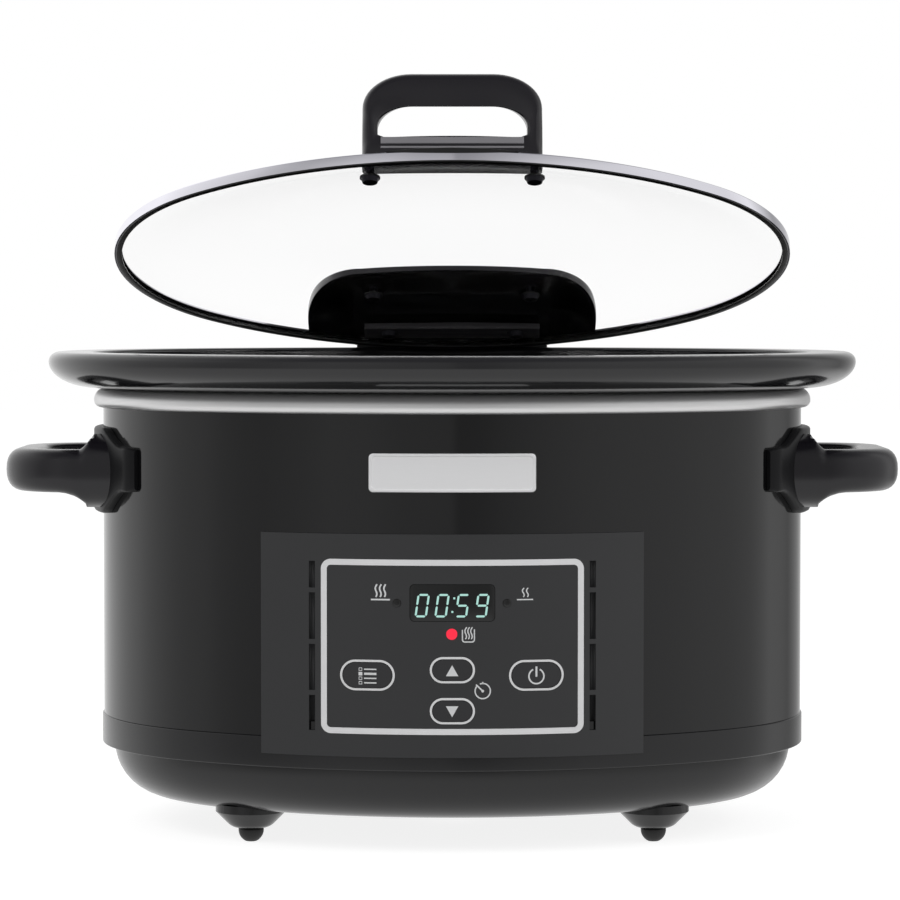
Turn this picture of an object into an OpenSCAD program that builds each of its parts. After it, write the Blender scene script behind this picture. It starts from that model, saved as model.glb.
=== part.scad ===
// Oval countertop slow cooker with a hinged glass lid.
// Millimetres, +Z up, the front faces -Y.  Heights count from the surface that it stands on.
// Every oval is four arcs drawn on 3-4-5 triangles, so all of them are true parallels of the wall.
// The number g is the distance outside the housing wall, and is negative inside it.

/* [Housing] */
// Half of the housing's width across the two ends
half_w = 156.3; // [150:0.1:165]
// Half of the housing's depth, front to back
half_d = 120.1; // [114:0.1:126]
// Height of the painted steel wall
wall_h = 136.4; // [130:0.1:150]
// Thickness of the painted steel wall
wall_t = 1.2; // [0.8:0.1:1.6]

/* [Base] */
// Height of a rubber foot tip
pad_h = 5.9; // [4:0.1:8]
// Radius of a rubber foot tip
pad_r = 5.5; // [4.5:0.1:7]
// Height of a foot's flared boss below the pan
boss_h = 8.6; // [6:0.1:11]
// Radius of a foot's flared boss where it meets the pan
boss_r = 15.4; // [13:0.1:18]
// Distance of the feet from the middle, sideways
foot_x = 87.4; // [70:0.1:90]
// Distance of the feet from the middle, front to back
foot_y = 62; // [50:0.5:64]
// Radius of the pan's rounded lower edge
pan_curve_r = 22.4; // [18:0.1:22.4]
// Height of the pan below the band
pan_h = 22.8; // [22.5:0.1:30]
// How far the pan's side stands in from the wall
pan_inset = 4.8; // [3:0.1:8]
// Wall thickness of the pan
pan_t = 2.2; // [1.6:0.1:3]
// Height of the plastic band round the foot of the wall
band_h = 13.5; // [10:0.1:18]
// How far the band stands out from the wall
band_proud = 0.7; // [0.3:0.1:1.2]

/* [Steel rim] */
// Height of the rolled steel rim
ring_h = 8.8; // [7:0.1:12]
// How far the rolled bead stands out from the wall
ring_proud = 4.1; // [3:0.1:5]
// Sheet thickness of the steel rim
ring_t = 1.4; // [1:0.1:2]

/* [Heating well] */
// Distance of the well's outer face inside the housing wall
well_inset = 20; // [19:0.1:24]
// Sheet thickness of the well
well_t = 1; // [0.6:0.1:1.5]
// Height of the well's floor above the pan's floor
well_floor = 32; // [30:0.5:38]
// Thickness of the heater band
heater_t = 2; // [1.2:0.1:2.5]
// Height of the heater band
heater_h = 50; // [30:1:60]
// Thickness of the insulation blanket
blanket_t = 2.8; // [2:0.1:3]

/* [Crock] */
// Thickness of the stoneware wall
crock_t = 7; // [5:0.1:8]
// Thickness of the stoneware floor
crock_floor_t = 8; // [6:0.1:10]
// Gap between the crock and the heating well
crock_gap = 1.5; // [1:0.1:2.5]
// Radius of the bowl's bottom corner
bowl_r = 28; // [20:0.5:35]
// How far the rim overhangs the housing wall
rim_over = 24.2; // [20:0.1:26]
// Height of the rim above the steel rim
rim_h = 15.8; // [14:0.1:19]
// Depth of the lid's seat below the top of the rim
seat_drop = 13.2; // [12.8:0.1:14]

/* [Lid] */
// Distance of the lid's edge inside the housing wall
lid_inset = 4.1; // [3.5:0.1:6]
// Height of the lid's edge, from gasket to metal band
lid_edge_h = 4.8; // [4.4:0.1:5.5]
// Thickness of the lid's glass
glass_t = 3; // [2.8:0.1:3.4]
// Height of the glass dome above the lid's edge
dome_rise = 6; // [4:0.1:8]
// Sheet thickness of the lid's metal band
lid_band_t = 0.7; // [0.5:0.1:0.8]
// Width of the black gasket seen through the glass
gasket_w = 3.4; // [3:0.1:8]
// Angle by which the lid stands open at rest
lid_open = 20.9; // [0:0.1:60]

/* [Lid handle] */
// Width of the lid's handle
grip_w = 77; // [70:0.5:90]
// Height of the lid's handle above the lid's edge
grip_h = 41.5; // [34:0.5:46]
// Depth of the lid's handle, front to back
grip_d = 19; // [16:0.5:24]
// Thickness of the handle's top bar
grip_bar = 13.5; // [10:0.1:17]
// Thickness of the handle's legs
grip_leg = 6.6; // [5:0.1:9]
// Thickness of the bar that joins the legs at the bottom
grip_base = 10.6; // [6:0.1:12]
// Distance from the lid's edge to the handle's front face
grip_inset = 6; // [5:0.5:12]

/* [Hinge] */
// Distance of the hinge pin behind the housing wall
pin_back = 29.7; // [29.6:0.1:33]
// Height of the hinge pin below the steel rim's top
pin_drop = 2; // [0:0.1:6]
// Radius of the hinge pin
pin_r = 2; // [1.5:0.1:2.2]
// Radius of the hinge knuckles
knuckle_r = 4.4; // [4:0.1:4.6]
// Width of the lid's hinge arm
arm_w = 93; // [86:0.5:100]
// Wall thickness of the hinge arm
arm_t = 4.6; // [4:0.1:5]
// Width of the cover over the hinge arm
cover_w = 137; // [120:1:144]
// Length of the cover, front to back
cover_len = 94; // [80:1:100]
// Greatest height of the cover above the lid's edge
cover_h = 17; // [16.6:0.1:19]
// Length of the tongues that plug into the bracket
tongue_len = 27; // [18:0.5:30]
// Width of a tongue
tongue_w = 15; // [10:0.5:18]
// Thickness of a tongue
tongue_t = 6.4; // [4:0.1:7]

/* [Side handles] */
// How far a side handle stands out from the wall
handle_out = 42; // [38:0.5:50]
// Width of a side handle along the housing
handle_w = 94; // [84:1:100]
// Height of a side handle's bar
handle_h = 19; // [16:0.1:24]
// Thickness of a side handle's bar, in plan
handle_bar = 16; // [12:0.5:18]
// Height of a handle's middle above the foot of the wall
handle_z = 109; // [90:0.1:112]
// Thickness of the mounting plate of a handle
plate_t = 4.1; // [3:0.1:5]
// Half of the mounting plate's height in its middle
plate_rise = 18.8; // [16:0.1:22]
// Half of the mounting plate's length
plate_half = 62; // [62:0.5:70]

/* [Control panel] */
// Width of the control panel
panel_w = 161.7; // [150:0.1:170]
// Height of the control panel
panel_h = 93.7; // [88:0.1:98]
// Height of the panel's lower edge above the band's lower edge
panel_low = 6.1; // [3:0.1:8]
// How far the panel stands out from the wall
panel_proud = 1.3; // [1.1:0.1:2]
// Depth of the panel behind the wall's outer face
panel_back = 3; // [2.5:0.1:3.5]
// Width of the silver line round the controls
line_w = 2.5; // [1.5:0.1:3.5]
// Width of the area inside the silver line's outer edge
frame_w = 110.4; // [106:0.1:114]
// Height of the area inside the silver line's outer edge
frame_h = 73.4; // [68:0.1:76]
// Height of the silver line's lower edge above the panel's lower edge
frame_low = 9.7; // [6:0.1:12]
// Width of a long side button's ring
wide_key_w = 23; // [20:0.1:25]
// Height of a long side button's ring
wide_key_h = 12.9; // [11:0.1:14]
// Width of an arrow button's ring
arrow_key_w = 18.9; // [16:0.1:20]
// Height of an arrow button's ring
arrow_key_h = 11; // [9:0.1:12]
// Width of the silver ring round a button
key_ring_w = 0.9; // [0.6:0.1:1.2]
// Travel of a button
key_travel = 0.8; // [0.4:0.1:1]
// Width of the display window
window_w = 35.8; // [30:0.1:38]
// Height of the display window
window_h = 15.7; // [13:0.1:17]

/* [Badge] */
// Width of the metal badge
badge_w = 70; // [60:0.5:80]
// Height of the metal badge
badge_h = 16.2; // [12:0.1:18]
// Thickness of the metal badge
badge_t = 1.2; // [0.8:0.1:2]
// Height of the badge's middle above the foot of the wall
badge_z = 111.9; // [106:0.1:118]

/* [Clearances] */
// Gap between fixed pieces that fit into each other
fit = 0.1; // [0.05:0.01:0.15]
// Gap round pieces that slide or lift out
slip = 0.4; // [0.3:0.05:0.5]
// Gap between the pin and its moving bores
pin_fit = 0.05; // [0.02:0.01:0.1]
// Gap left under the lid's gasket when the lid is shut
seat_gap = 0.6; // [0.4:0.1:1]

/* [Hidden] */
$fn = 72;

// Steps of a drawn curve, and a length that reaches past everything
curve_n = 10;
far = 400;

// The oval: a 3-4-5 triangle joins the centres of its end arcs and its side arcs
oval_u = (half_w - half_d) / 2;
end_x = 3 * oval_u;
side_y = 4 * oval_u;
end_r = half_w - end_x;
side_r = half_d + side_y;

// Heights of the joins, from the bottom up
z_pan = pad_h + boss_h;
z_band = z_pan + pan_h;
z_wall = z_band + band_h;
z_ring = z_wall + wall_h;
z_rim = z_ring + ring_h;
z_rim_top = z_rim + rim_h;
z_seat = z_rim_top - seat_drop;
z_lid = z_seat + seat_gap + lid_edge_h / 2;

// Pan, feet and band
boss_curve_r = 7;
boss_foot_r = 5.2;
boss_climb = 2.2;
pad_lean = 65;
pan_floor_g = -pan_inset - pan_curve_r;
band_lip_h = 5;
band_lip_t = 1.6;
band_shelf_t = 2.2;
band_edge = 0.8;
vent_n = 6;
vent_pitch = 8;
vent_size = [26, 3];
vent_x = 52;

// Well, crock and heater
well_in = well_inset + well_t;
crock_g = -well_in - crock_gap;
bowl_g = crock_g - crock_t;
corner_g = bowl_g - bowl_r;
corner_r = bowl_r + crock_t;
z_well = z_pan + well_floor;
z_crock = z_well + well_t + crock_gap;
z_corner = z_crock + corner_r;
z_bowl = z_crock + crock_floor_t;
neck_h = 18;
ring_in = 9;
well_flange = 10;
neck_gap = 1.9;
rim_flat_g = 3.7;
rim_edge = [5, 4.3];
seat_in = 13;
seat_wall_g = [1, 4];
seat_edge = 2;
heater_gap = 3;
stud_r = 2.5;
stud_plate_r = 9;
nut_h = 3.6;
nut_r = 4.6;

// Boards
power_size = [90, 50, 1.6];
power_y = -half_d + 62.1;
power_post_h = 12;
// Relay, transformer and two connectors: X, Y, width, depth, height
power_blocks = [[-34, -14, 16, 20, 9], [-8, -18, 20, 16, 8], [-26, 14, 12, 6, 7], [14, 14, 12, 6, 7]];
// Capacitor: X, Y, radius, height
power_can = [24, -8, 4, 9];
board_t = 1.6;
board_w = 108;
board_margin = 2;
board_y = -half_d + 12.1;
switch_size = [6, 2.6, 6];
post_r = 2.8;
post_in = 5;
screw_r = 1.45;
screw_head = [3, 1.6];

// Side handles
handle_x = half_w + handle_out;
handle_mid = z_wall + handle_z;
handle_end_r = 19.1;
handle_corner_r = 32;
leg_t = 15;
leg_turn = asin((handle_w - leg_t) / 2 / (end_r + 3));
plate_end_rise = 7;
plate_slope = [43, 51.5];
leg_slope = [30, 10.8];
pilot_depth = 12;

// Control panel
z_panel = z_band + panel_low;
z_open = z_wall + band_lip_h + 1.8;
open_w = panel_w - 24.7;
open_h = z_panel + panel_h - 5.8 - z_open;
z_frame = z_panel + frame_low;
frame_corner_r = 4.2;
inlay = 0.8;
inlay_proud = 0.15;
slot_x = 59;
slot_w = 2.6;
slot_deep = 2;
slot_ribs = [0, 0.23, 0.523, 0.819, 1];
slot_rib_t = 2;
key_proud = 0.4;
key_gap = 0.3;
key_flange = [1.2, 1.2];
window_ledge = 2;
window_corner_r = 2;
// Places of the four buttons, as X and height above the panel's lower edge
menu_at = [-35.6, 34.5];
power_at = [35.2, 34.5];
up_at = [0, 36.9];
down_at = [0, 19.7];
window_at = [0, 65];
// Indicator lights: X, height above the panel's lower edge, radius
leds = [[-23.2, 64.9, 1.7], [22.8, 64.9, 1.7], [-0.25, 51.9, 2.3]];
led_proud = 0.3;
z_badge = z_wall + badge_z;
badge_corner_r = 1.8;

// Hinge
pin_y = half_d + pin_back;
pin_z = z_rim - pin_drop;
bracket_top = z_ring - 5;
bracket_low = bracket_top - tongue_len - 3;
bracket_wall = 3.2;
bracket_screw_in = 9;
bracket_screw_out = 6;
tongue_x = 28;
tongue_y = pin_y + 0.9;
rear_y = tongue_y + tongue_t / 2 + slip + bracket_wall + 0.5;
bracket_w = [104, 92];
foot_bar_h = 5;
foot_bar_w = arm_w - 4;
ear_x = 34;
ear_w = 7.4;
arm_front_y = half_d - 58;
arm_back_y = half_d + rim_over + 1;
arm_low_z = z_rim_top + 0.8;
arm_corner_r = 8;
arm_step_y = half_d - 8;
arm_front_h = 8.5;
arm_rise_y = half_d - 27;
gland_z = z_wall + 15;
gland_bore_r = 3.6;
gland_r = 6.4;
gland_flange = [9.5, 3];

// Lid
edge_low = z_lid - lid_edge_h / 2;
edge_top = z_lid + lid_edge_h / 2;
gasket_t = 0.8;
glass_low = edge_low + gasket_t;
glass_top = glass_low + glass_t;
glass_g = -lid_inset - lid_band_t - 1.2;
lip_in = 3.1;
dome_g = [-lid_inset - 9.9, 16 - end_r];
cover_edge_h = 3;
cover_t = 2;
cover_rise_len = 45;
cover_rear_g = -1;
cover_corner = [26, 50];
cover_bow_r = 172;
cover_screw_at = [36.6, half_d - 64.3];
clamp_at = [30, half_d - 25.6];
clamp_size = [83, 13, 2];
grip_y = -half_d + lid_inset + grip_inset;
grip_face_y = grip_y + 4.1;
grip_pad_w = 60;
grip_top = grip_h + lid_edge_h;
grip_edge_r = [4, 5];
grip_corner = [21, 16];
grip_hole_corner = [15, 9];
lid_screw_r = 1.9;
lid_hole_r = 2.3;
lid_head = [4, 2];
lid_screw_len = 13.5;
cover_screw_len = 5;
cover_boss_r = [4, 9.6];
washer = [4.4, 1.5];
grip_screw_at = [(grip_w - grip_leg) / 2, grip_y + grip_d - washer[0]];
washer_gap = 0.8;

// The origin lies under the middle of the whole object, front to back
centre_y = (rear_y - half_d - rim_over) / 2;

// Finishes
housing_black = "#151517";
plastic_black = "#1d1d20";
panel_grey = "#3a3b3e";
silver = "#c9c9cb";
rubber_black = "#101010";

// ---- Helpers ----

// Points of an arc, or of a quarter of an ellipse if r is a pair
function arc(at, r, from, to, n = curve_n) = let(rx = is_list(r) ? r[0] : r, ry = is_list(r) ? r[1] : r)
  [for (i = [0:n]) let(a = from + (to - from) * i / n) [at[0] + rx * cos(a), at[1] + ry * sin(a)]];
function mirrored(pts) = [for (i = [len(pts) - 1:-1:0]) [-pts[i][0], pts[i][1]]];
function slid(pts, dx, dy) = [for (p = pts) [p[0] + dx, p[1] + dy]];

module at_origin() translate([0, -centre_y, 0]) children();

// Turns the shut lid about the pin to where it stands at rest
module lid_pose() at_origin() translate([0, pin_y, pin_z]) rotate([-lid_open, 0, 0])
  translate([0, -pin_y, -pin_z]) children();

// The sector of the plan that belongs to the right end arc, or to the front arc
module end_sector() translate([end_x, 0, -far]) linear_extrude(2 * far)
  polygon([[0, 0], [0.6 * far, -0.8 * far], [0.6 * far, 0.8 * far]]);
module front_sector() translate([0, side_y, -far]) linear_extrude(2 * far)
  polygon([[0, 0], [-0.6 * far, -0.8 * far], [0.6 * far, -0.8 * far]]);

// Carries a profile round the oval; the profile's x is g and its y is the height
module oval_sweep() for (turn = [0, 180]) rotate([0, 0, turn]) {
  intersection() {
    translate([end_x, 0, 0]) rotate_extrude() translate([end_r, 0]) children();
    end_sector();
  }
  intersection() {
    translate([0, side_y, 0]) rotate_extrude() translate([side_r, 0]) children();
    front_sector();
  }
}

// A solid oval disc of parallel g, from height z up
module oval(g, z, h) translate([0, 0, z]) for (turn = [0, 180]) rotate([0, 0, turn]) {
  intersection() {
    translate([end_x, 0, 0]) cylinder(r = end_r + g, h = h);
    end_sector();
  }
  intersection() {
    translate([0, side_y, 0]) cylinder(r = side_r + g, h = h);
    front_sector();
  }
}

// A band of the front wall between two parallels, cut to an outline drawn in X and Z
module front_band(g0, g1) intersection() {
  translate([0, side_y, 0]) difference() {
    cylinder(r = side_r + g1, h = z_ring);
    translate([0, 0, -1]) cylinder(r = side_r + g0, h = z_ring + 2);
  }
  along_y(-half_d - 20, -half_d / 2) children();
}

// Extrudes an outline drawn in X and Z from one Y to another, or in Y and Z along X
module along_y(y0, y1) translate([0, y1, 0]) rotate([90, 0, 0]) linear_extrude(y1 - y0) children();
module along_x(x0, x1) translate([x0, 0, 0]) rotate([90, 0, 90]) linear_extrude(x1 - x0) children();

module round_rect(w, h, r) {
  square([w - 2 * r, h], center = true);
  square([w, h - 2 * r], center = true);
  for (x = [-1, 1], y = [-1, 1]) translate([x * (w / 2 - r), y * (h / 2 - r)]) circle(r);
}
module stadium(w, h) {
  square([w - h, h], center = true);
  for (x = [-1, 1]) translate([x * (w - h) / 2, 0]) circle(h / 2);
}

// Puts children at a place given as X and height above the panel's lower edge
module on_panel(at) translate([at[0], z_panel + at[1]]) children();

// ---- Base ----

module outer_housing() color(housing_black) at_origin() difference() {
  oval_sweep() translate([-wall_t, z_wall]) square([wall_t, wall_h]);
  along_y(-far, -half_d / 2) translate([-open_w / 2, z_open]) square([open_w, open_h]);
  handle_screw_places() cylinder(r = screw_r + fit, h = 2 * wall_t + 2, center = true);
  bracket_screw_places() cylinder(r = screw_r + fit, h = 20, center = true);
  translate([0, half_d, gland_z]) rotate([90, 0, 0]) cylinder(r = gland_r + fit, h = 20, center = true);
}

module lower_band() color(plastic_black) at_origin() oval_sweep() polygon([
  [band_proud - band_edge, z_band], [band_proud, z_band + band_edge],
  [band_proud, z_wall - band_edge], [band_proud - band_edge, z_wall],
  [-wall_t - fit, z_wall], [-wall_t - fit, z_wall + band_lip_h],
  [-wall_t - fit - band_lip_t, z_wall + band_lip_h], [-wall_t - fit - band_lip_t, z_band + band_shelf_t],
  [-pan_inset - pan_t - 1.5, z_band + band_shelf_t], [-pan_inset - pan_t - 1.5, z_band]
]);

// The pan's outside as points, from its top edge down to the floor
function pan_line(t) = concat([[-pan_inset - t, z_band]],
  arc([pan_floor_g, z_pan + pan_curve_r], pan_curve_r - t, 0, -90));

module pan_solid() {
  oval_sweep() polygon(concat(pan_line(0), [[pan_floor_g - 12, z_pan], [pan_floor_g - 12, z_band]]));
  oval(pan_floor_g - 10, z_pan, z_band - z_pan);
}

module base_pan() color(plastic_black) at_origin() {
  difference() {
    union() {
      oval_sweep() polygon(concat(pan_line(0), [[pan_floor_g - 12, z_pan], [pan_floor_g - 12,
          z_pan + pan_t]],
        [for (i = [curve_n + 1:-1:0]) pan_line(pan_t)[i]]));
      oval(pan_floor_g - 10, z_pan, pan_t);
    }
    translate([0, 0, z_pan - 1]) cylinder(r = stud_r + slip, h = pan_t + 2);
    for (side = [-1, 1], i = [0:vent_n - 1])
      translate([side * vent_x, (i - (vent_n - 1) / 2) * vent_pitch, z_pan + pan_t / 2])
        cube([vent_size[0], vent_size[1], 2 * pan_t], center = true);
  }
  power_post_places() translate([0, 0, z_pan + pan_t / 2]) cylinder(r = post_r,
      h = pan_t / 2 + power_post_h);
}

module power_post_places() for (x = [-1, 1], y = [-1, 1])
  translate([x * (power_size[0] / 2 - post_in), power_y + y * (power_size[1] / 2 - post_in), 0]) children();

module foot_places() for (x = [-1, 1], y = [-1, 1]) translate([x * foot_x, y * foot_y, 0]) children();

module feet() color(plastic_black) at_origin() difference() {
  foot_places() rotate_extrude() polygon(concat([[0, pad_h]],
    arc([boss_foot_r, pad_h + boss_curve_r], boss_curve_r, -90, -45),
    [[boss_r, pad_h + boss_curve_r + boss_r - boss_foot_r - boss_curve_r * sqrt(2)],
     [boss_r, z_pan + boss_climb], [0, z_pan + boss_climb]]));
  pan_solid();
}

module foot_pads() color(rubber_black) at_origin() foot_places() rotate_extrude()
  polygon(concat([[0, 0]], arc([0, pad_r * sin(pad_lean)], pad_r, -pad_lean, 0), [[pad_r, pad_h], [0,
      pad_h]]));

module steel_rim() color(silver) at_origin() oval_sweep() polygon(concat(
  [[-ring_in, z_rim]], rim_line(0),
  [[-wall_t - 0.6, z_ring], [-wall_t - 0.6, z_ring + ring_t]],
  [for (i = [2 * curve_n:-1:0]) rim_line(ring_t)[i]], [[-ring_in, z_rim - ring_t]]));

// The rolled bead, from the top of the rim round to its lower edge, t inside its outer face
function rim_line(t) = let(low = ring_h / 3, top = ring_h - low) concat(
  arc([ring_proud - top, z_ring + low], top - t, 90, 0), arc([ring_proud - low, z_ring + low], low - t,
      -9, -90, curve_n - 1));

// ---- Heating ----

// The well's face t outside its inner one, from the rim down to the floor
function well_line(t) = concat([[-well_flange + 0.54 * t, z_rim - ring_t - t], [t - well_in,
    z_rim - neck_h - 0.3 * t]],
  arc([corner_g, z_corner], corner_r + crock_gap + t, 0, -90));

module heating_well() color(silver) at_origin() {
  oval_sweep() polygon(concat(
    [[-well_flange + 6, z_rim - ring_t], [-well_flange + 6, z_rim - ring_t - well_t]], well_line(well_t),
    [[corner_g - 6, z_well], [corner_g - 6, z_well + well_t]],
    [for (i = [curve_n + 2:-1:0]) well_line(0)[i]]));
  oval(corner_g - 4, z_well, well_t);
}

module heater_band() color("#8a7a5a") at_origin() oval_sweep()
  translate([-well_inset, z_corner + heater_gap]) square([heater_t, heater_h]);

module insulation() color("#d8d4c8") at_origin() oval_sweep()
  translate([heater_t - well_inset, z_corner]) square([blanket_t, heater_h + 2 * heater_gap]);

module centre_stud() color(silver) at_origin() {
  translate([0, 0, z_well - 1.5]) cylinder(r = stud_plate_r, h = 1.5);
  translate([0, 0, z_pan - nut_h - 1]) cylinder(r = stud_r, h = z_well - z_pan + nut_h);
}

module stud_nut() color(silver) at_origin() translate([0, 0, z_pan - nut_h]) difference() {
  union() {
    cylinder(r = nut_r, h = nut_h, $fn = 6);
    translate([0, 0, nut_h - 1]) cylinder(r = nut_r + 2.5, h = 1);
  }
  translate([0, 0, -1]) cylinder(r = stud_r + fit, h = nut_h + 2);
}

module power_board() color("#2f6b3c") at_origin() translate([0, power_y, z_pan + pan_t + power_post_h]) {
  translate([-power_size[0] / 2, -power_size[1] / 2, 0]) cube(power_size);
  for (part = power_blocks) translate([part[0], part[1], power_size[2]]) cube([part[2], part[3], part[4]]);
  translate([power_can[0], power_can[1], power_size[2]]) cylinder(r = power_can[2], h = power_can[3]);
}

// ---- Side handles ----

module handle_screw_places() for (side = [0, 180], turn = [-leg_turn, leg_turn]) rotate([0, 0, side])
  translate([end_x, 0, handle_mid]) rotate([0, 0, turn]) rotate([0, 90, 0])
    translate([0, 0, end_r - wall_t / 2]) children();

// The loop seen from the front, with x counted from the housing wall and y from its mid height
function handle_side() = let(h = handle_h / 2, tip = asin(h / handle_end_r), foot = plate_t + 0.9)
  concat(
    arc([handle_out - handle_end_r, 0], handle_end_r, -tip, tip),
    arc([plate_t + 4, h + 4], 4, -90, -180, 4), [[plate_t, plate_rise], [-20, plate_rise], [-20,
        -plate_rise],
    [plate_t, -plate_rise]],
    arc([foot + 12, -h - 18], 18, 131.8, 90, 6));

module handle_plan(x, w, r) translate([half_w - 20, -w / 2]) {
  square([x - half_w + 20 - r, w]);
  translate([0, r]) square([x - half_w + 20, w - 2 * r]);
  for (y = [r, w - r]) translate([x - half_w + 20 - r, y]) circle(r);
}

module side_handle() color(plastic_black) difference() {
  union() {
    intersection() {
      oval_sweep() translate([0, handle_mid - plate_rise]) square([plate_t, 2 * plate_rise]);
      along_x(end_x, far) translate([0, handle_mid]) polygon(concat(plate_edge(1), plate_edge(-1)));
    }
    intersection() {
      translate([0, 0, handle_mid - plate_rise]) linear_extrude(2 * plate_rise) difference() {
        handle_plan(handle_x, handle_w, handle_corner_r);
        handle_plan(handle_x - handle_bar, handle_w - 2 * leg_t, handle_corner_r - leg_t);
      }
      along_y(-handle_w, handle_w) translate([half_w, handle_mid]) polygon(handle_side());
      along_x(end_x, far) translate([0, handle_mid]) polygon([[-handle_w / 2, -plate_rise],
        [handle_w / 2, -plate_rise], [handle_w / 2, leg_slope[1]], [leg_slope[0], plate_rise],
        [-leg_slope[0], plate_rise], [-handle_w / 2, leg_slope[1]]]);
    }
  }
  oval(0, handle_mid - far / 2, far);
  handle_screw_places() cylinder(r = screw_r + fit / 2, h = pilot_depth);
}

// One long edge of the mounting plate: narrow at its ends and tall in the middle
function plate_edge(s) = [for (p = [[-plate_half, plate_end_rise], [-plate_slope[1], plate_end_rise],
  [-plate_slope[0], plate_rise], [plate_slope[0], plate_rise], [plate_slope[1], plate_end_rise],
  [plate_half, plate_end_rise]]) [s * p[0], s * p[1]]];

module side_handle_right() at_origin() side_handle();
module side_handle_left() at_origin() mirror([1, 0, 0]) side_handle();

module handle_screws() color(silver) at_origin() handle_screw_places() {
  translate([0, 0, -wall_t]) cylinder(r = screw_r, h = pilot_depth);
  translate([0, 0, -wall_t / 2 - screw_head[1] - 0.1]) cylinder(r = screw_head[0], h = screw_head[1]);
}

// ---- Control panel ----

module panel_outline(z0) translate([-panel_w / 2, z0]) square([panel_w, z_panel + panel_h - z0]);
module frame_outline(inset) translate([0, z_frame + frame_h / 2])
  round_rect(frame_w - 2 * inset, frame_h - 2 * inset, frame_corner_r - inset);
module board_post_places() for (x = [-1, 1], z = [z_open + board_margin + post_in,
    z_open + open_h - board_margin - post_in])
  translate([x * (board_w / 2 - post_in), board_y, z]) rotate([90, 0, 0]) children();

// The outlines of the four button rings, moved inwards
module key_outlines(inset) {
  for (at = [menu_at, power_at]) on_panel(at) stadium(wide_key_w - 2 * inset, wide_key_h - 2 * inset);
  for (at = [up_at, down_at]) on_panel(at) stadium(arrow_key_w - 2 * inset, arrow_key_h - 2 * inset);
}

module control_panel() color(panel_grey) at_origin() {
  difference() {
    union() {
      front_band(band_proud + fit / 2, panel_proud) panel_outline(z_panel);
      front_band(0, panel_proud) panel_outline(z_wall + fit);
      front_band(-panel_back, panel_proud / 2) translate([-open_w / 2 + fit, z_open + fit])
        square([open_w - 2 * fit, open_h - 2 * fit]);
    }
    front_band(panel_proud - inlay - fit, panel_proud + 1) difference() {
      frame_outline(-fit);
      frame_outline(line_w + fit);
    }
    front_band(panel_proud - slot_deep, panel_proud + 1) for (x = [-1, 1], i = [0:len(slot_ribs) - 2])
      translate([x * slot_x - slot_w / 2, z_frame + frame_h * slot_ribs[i] + slot_rib_t / 2])
        square([slot_w, frame_h * (slot_ribs[i + 1] - slot_ribs[i]) - slot_rib_t]);
    front_band(panel_proud - inlay - fit, panel_proud + 1) key_outlines(-fit);
    front_band(-panel_back - 1, panel_proud + 1) key_outlines(key_ring_w);
    front_band(0, panel_proud + 1) on_panel(window_at) round_rect(window_w, window_h, window_corner_r);
    along_y(-far, -half_d / 2) on_panel(window_at)
      square([window_w - 2 * window_ledge, window_h - 2 * window_ledge], center = true);
    for (led = leds) along_y(-far, -half_d / 2) on_panel(led) circle(led[2] + fit);
  }
  board_post_places() cylinder(r = post_r, h = 4);
}

module panel_frame() color(silver) at_origin() front_band(panel_proud - inlay, panel_proud + inlay_proud)
  difference() {
    frame_outline(0);
    frame_outline(line_w);
  }

module button_rings() color(silver) at_origin() front_band(panel_proud - inlay, panel_proud + inlay_proud)
  difference() {
    key_outlines(0);
    key_outlines(key_ring_w);
  }

module display_window() color("#101314") at_origin() front_band(fit / 2, panel_proud - fit)
  on_panel(window_at) round_rect(window_w - 2 * fit, window_h - 2 * fit, window_corner_r - fit);

module display_module() color("#1a1f1c") at_origin() along_y(-half_d + 1, board_y) on_panel(window_at)
  square([window_w - 2 * window_ledge - 2 * fit, window_h - 2 * window_ledge - 2 * fit], center = true);

module indicator_leds() at_origin() for (led = leds) color(led[2] > 2 ? "#d01020" : "#151515")
  intersection() {
    along_y(-half_d - 5, board_y) on_panel(led) circle(led[2]);
    translate([0, side_y, 0]) cylinder(r = side_r + panel_proud + led_proud, h = z_ring);
  }

// A button: its face, the flange that holds it behind the panel, and its stem
module key(at, w, h) color(panel_grey) at_origin() {
  front_band(-panel_back - key_gap - key_flange[0], panel_proud + key_proud) on_panel(at)
    stadium(w - 2 * key_ring_w - 2 * key_gap, h - 2 * key_ring_w - 2 * key_gap);
  front_band(-panel_back - key_gap - key_flange[0], -panel_back - key_gap) on_panel(at)
    stadium(w - 2 * key_ring_w + 2 * key_flange[1], h - 2 * key_ring_w + 2 * key_flange[1]);
  along_y(-half_d + panel_back, board_y - switch_size[1] - key_travel - 0.2) on_panel(at) circle(1.8);
}
module menu_button() key(menu_at, wide_key_w, wide_key_h);
module power_button() key(power_at, wide_key_w, wide_key_h);
module up_button() key(up_at, arrow_key_w, arrow_key_h);
module down_button() key(down_at, arrow_key_w, arrow_key_h);

module key_switches() color("#303030") at_origin() for (at = [menu_at, power_at, up_at, down_at])
  along_y(board_y - switch_size[1], board_y) on_panel(at) square([switch_size[0], switch_size[2]],
      center = true);

module control_board() color("#2f6b3c") at_origin() difference() {
  along_y(board_y, board_y + board_t) translate([-board_w / 2, z_open + board_margin])
    square([board_w, open_h - 2 * board_margin]);
  board_post_places() cylinder(r = screw_r + fit, h = 10, center = true);
}

module board_screws() color(silver) at_origin() board_post_places() {
  translate([0, 0, -board_t - screw_head[1]]) cylinder(r = screw_head[0], h = screw_head[1]);
  translate([0, 0, -board_t - 0.1]) cylinder(r = screw_r, h = board_t + 0.1);
}

module badge_plate() color(silver) at_origin() front_band(fit, badge_t)
  translate([0, z_badge]) round_rect(badge_w, badge_h, badge_corner_r);

// ---- Hinge on the housing ----

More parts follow.
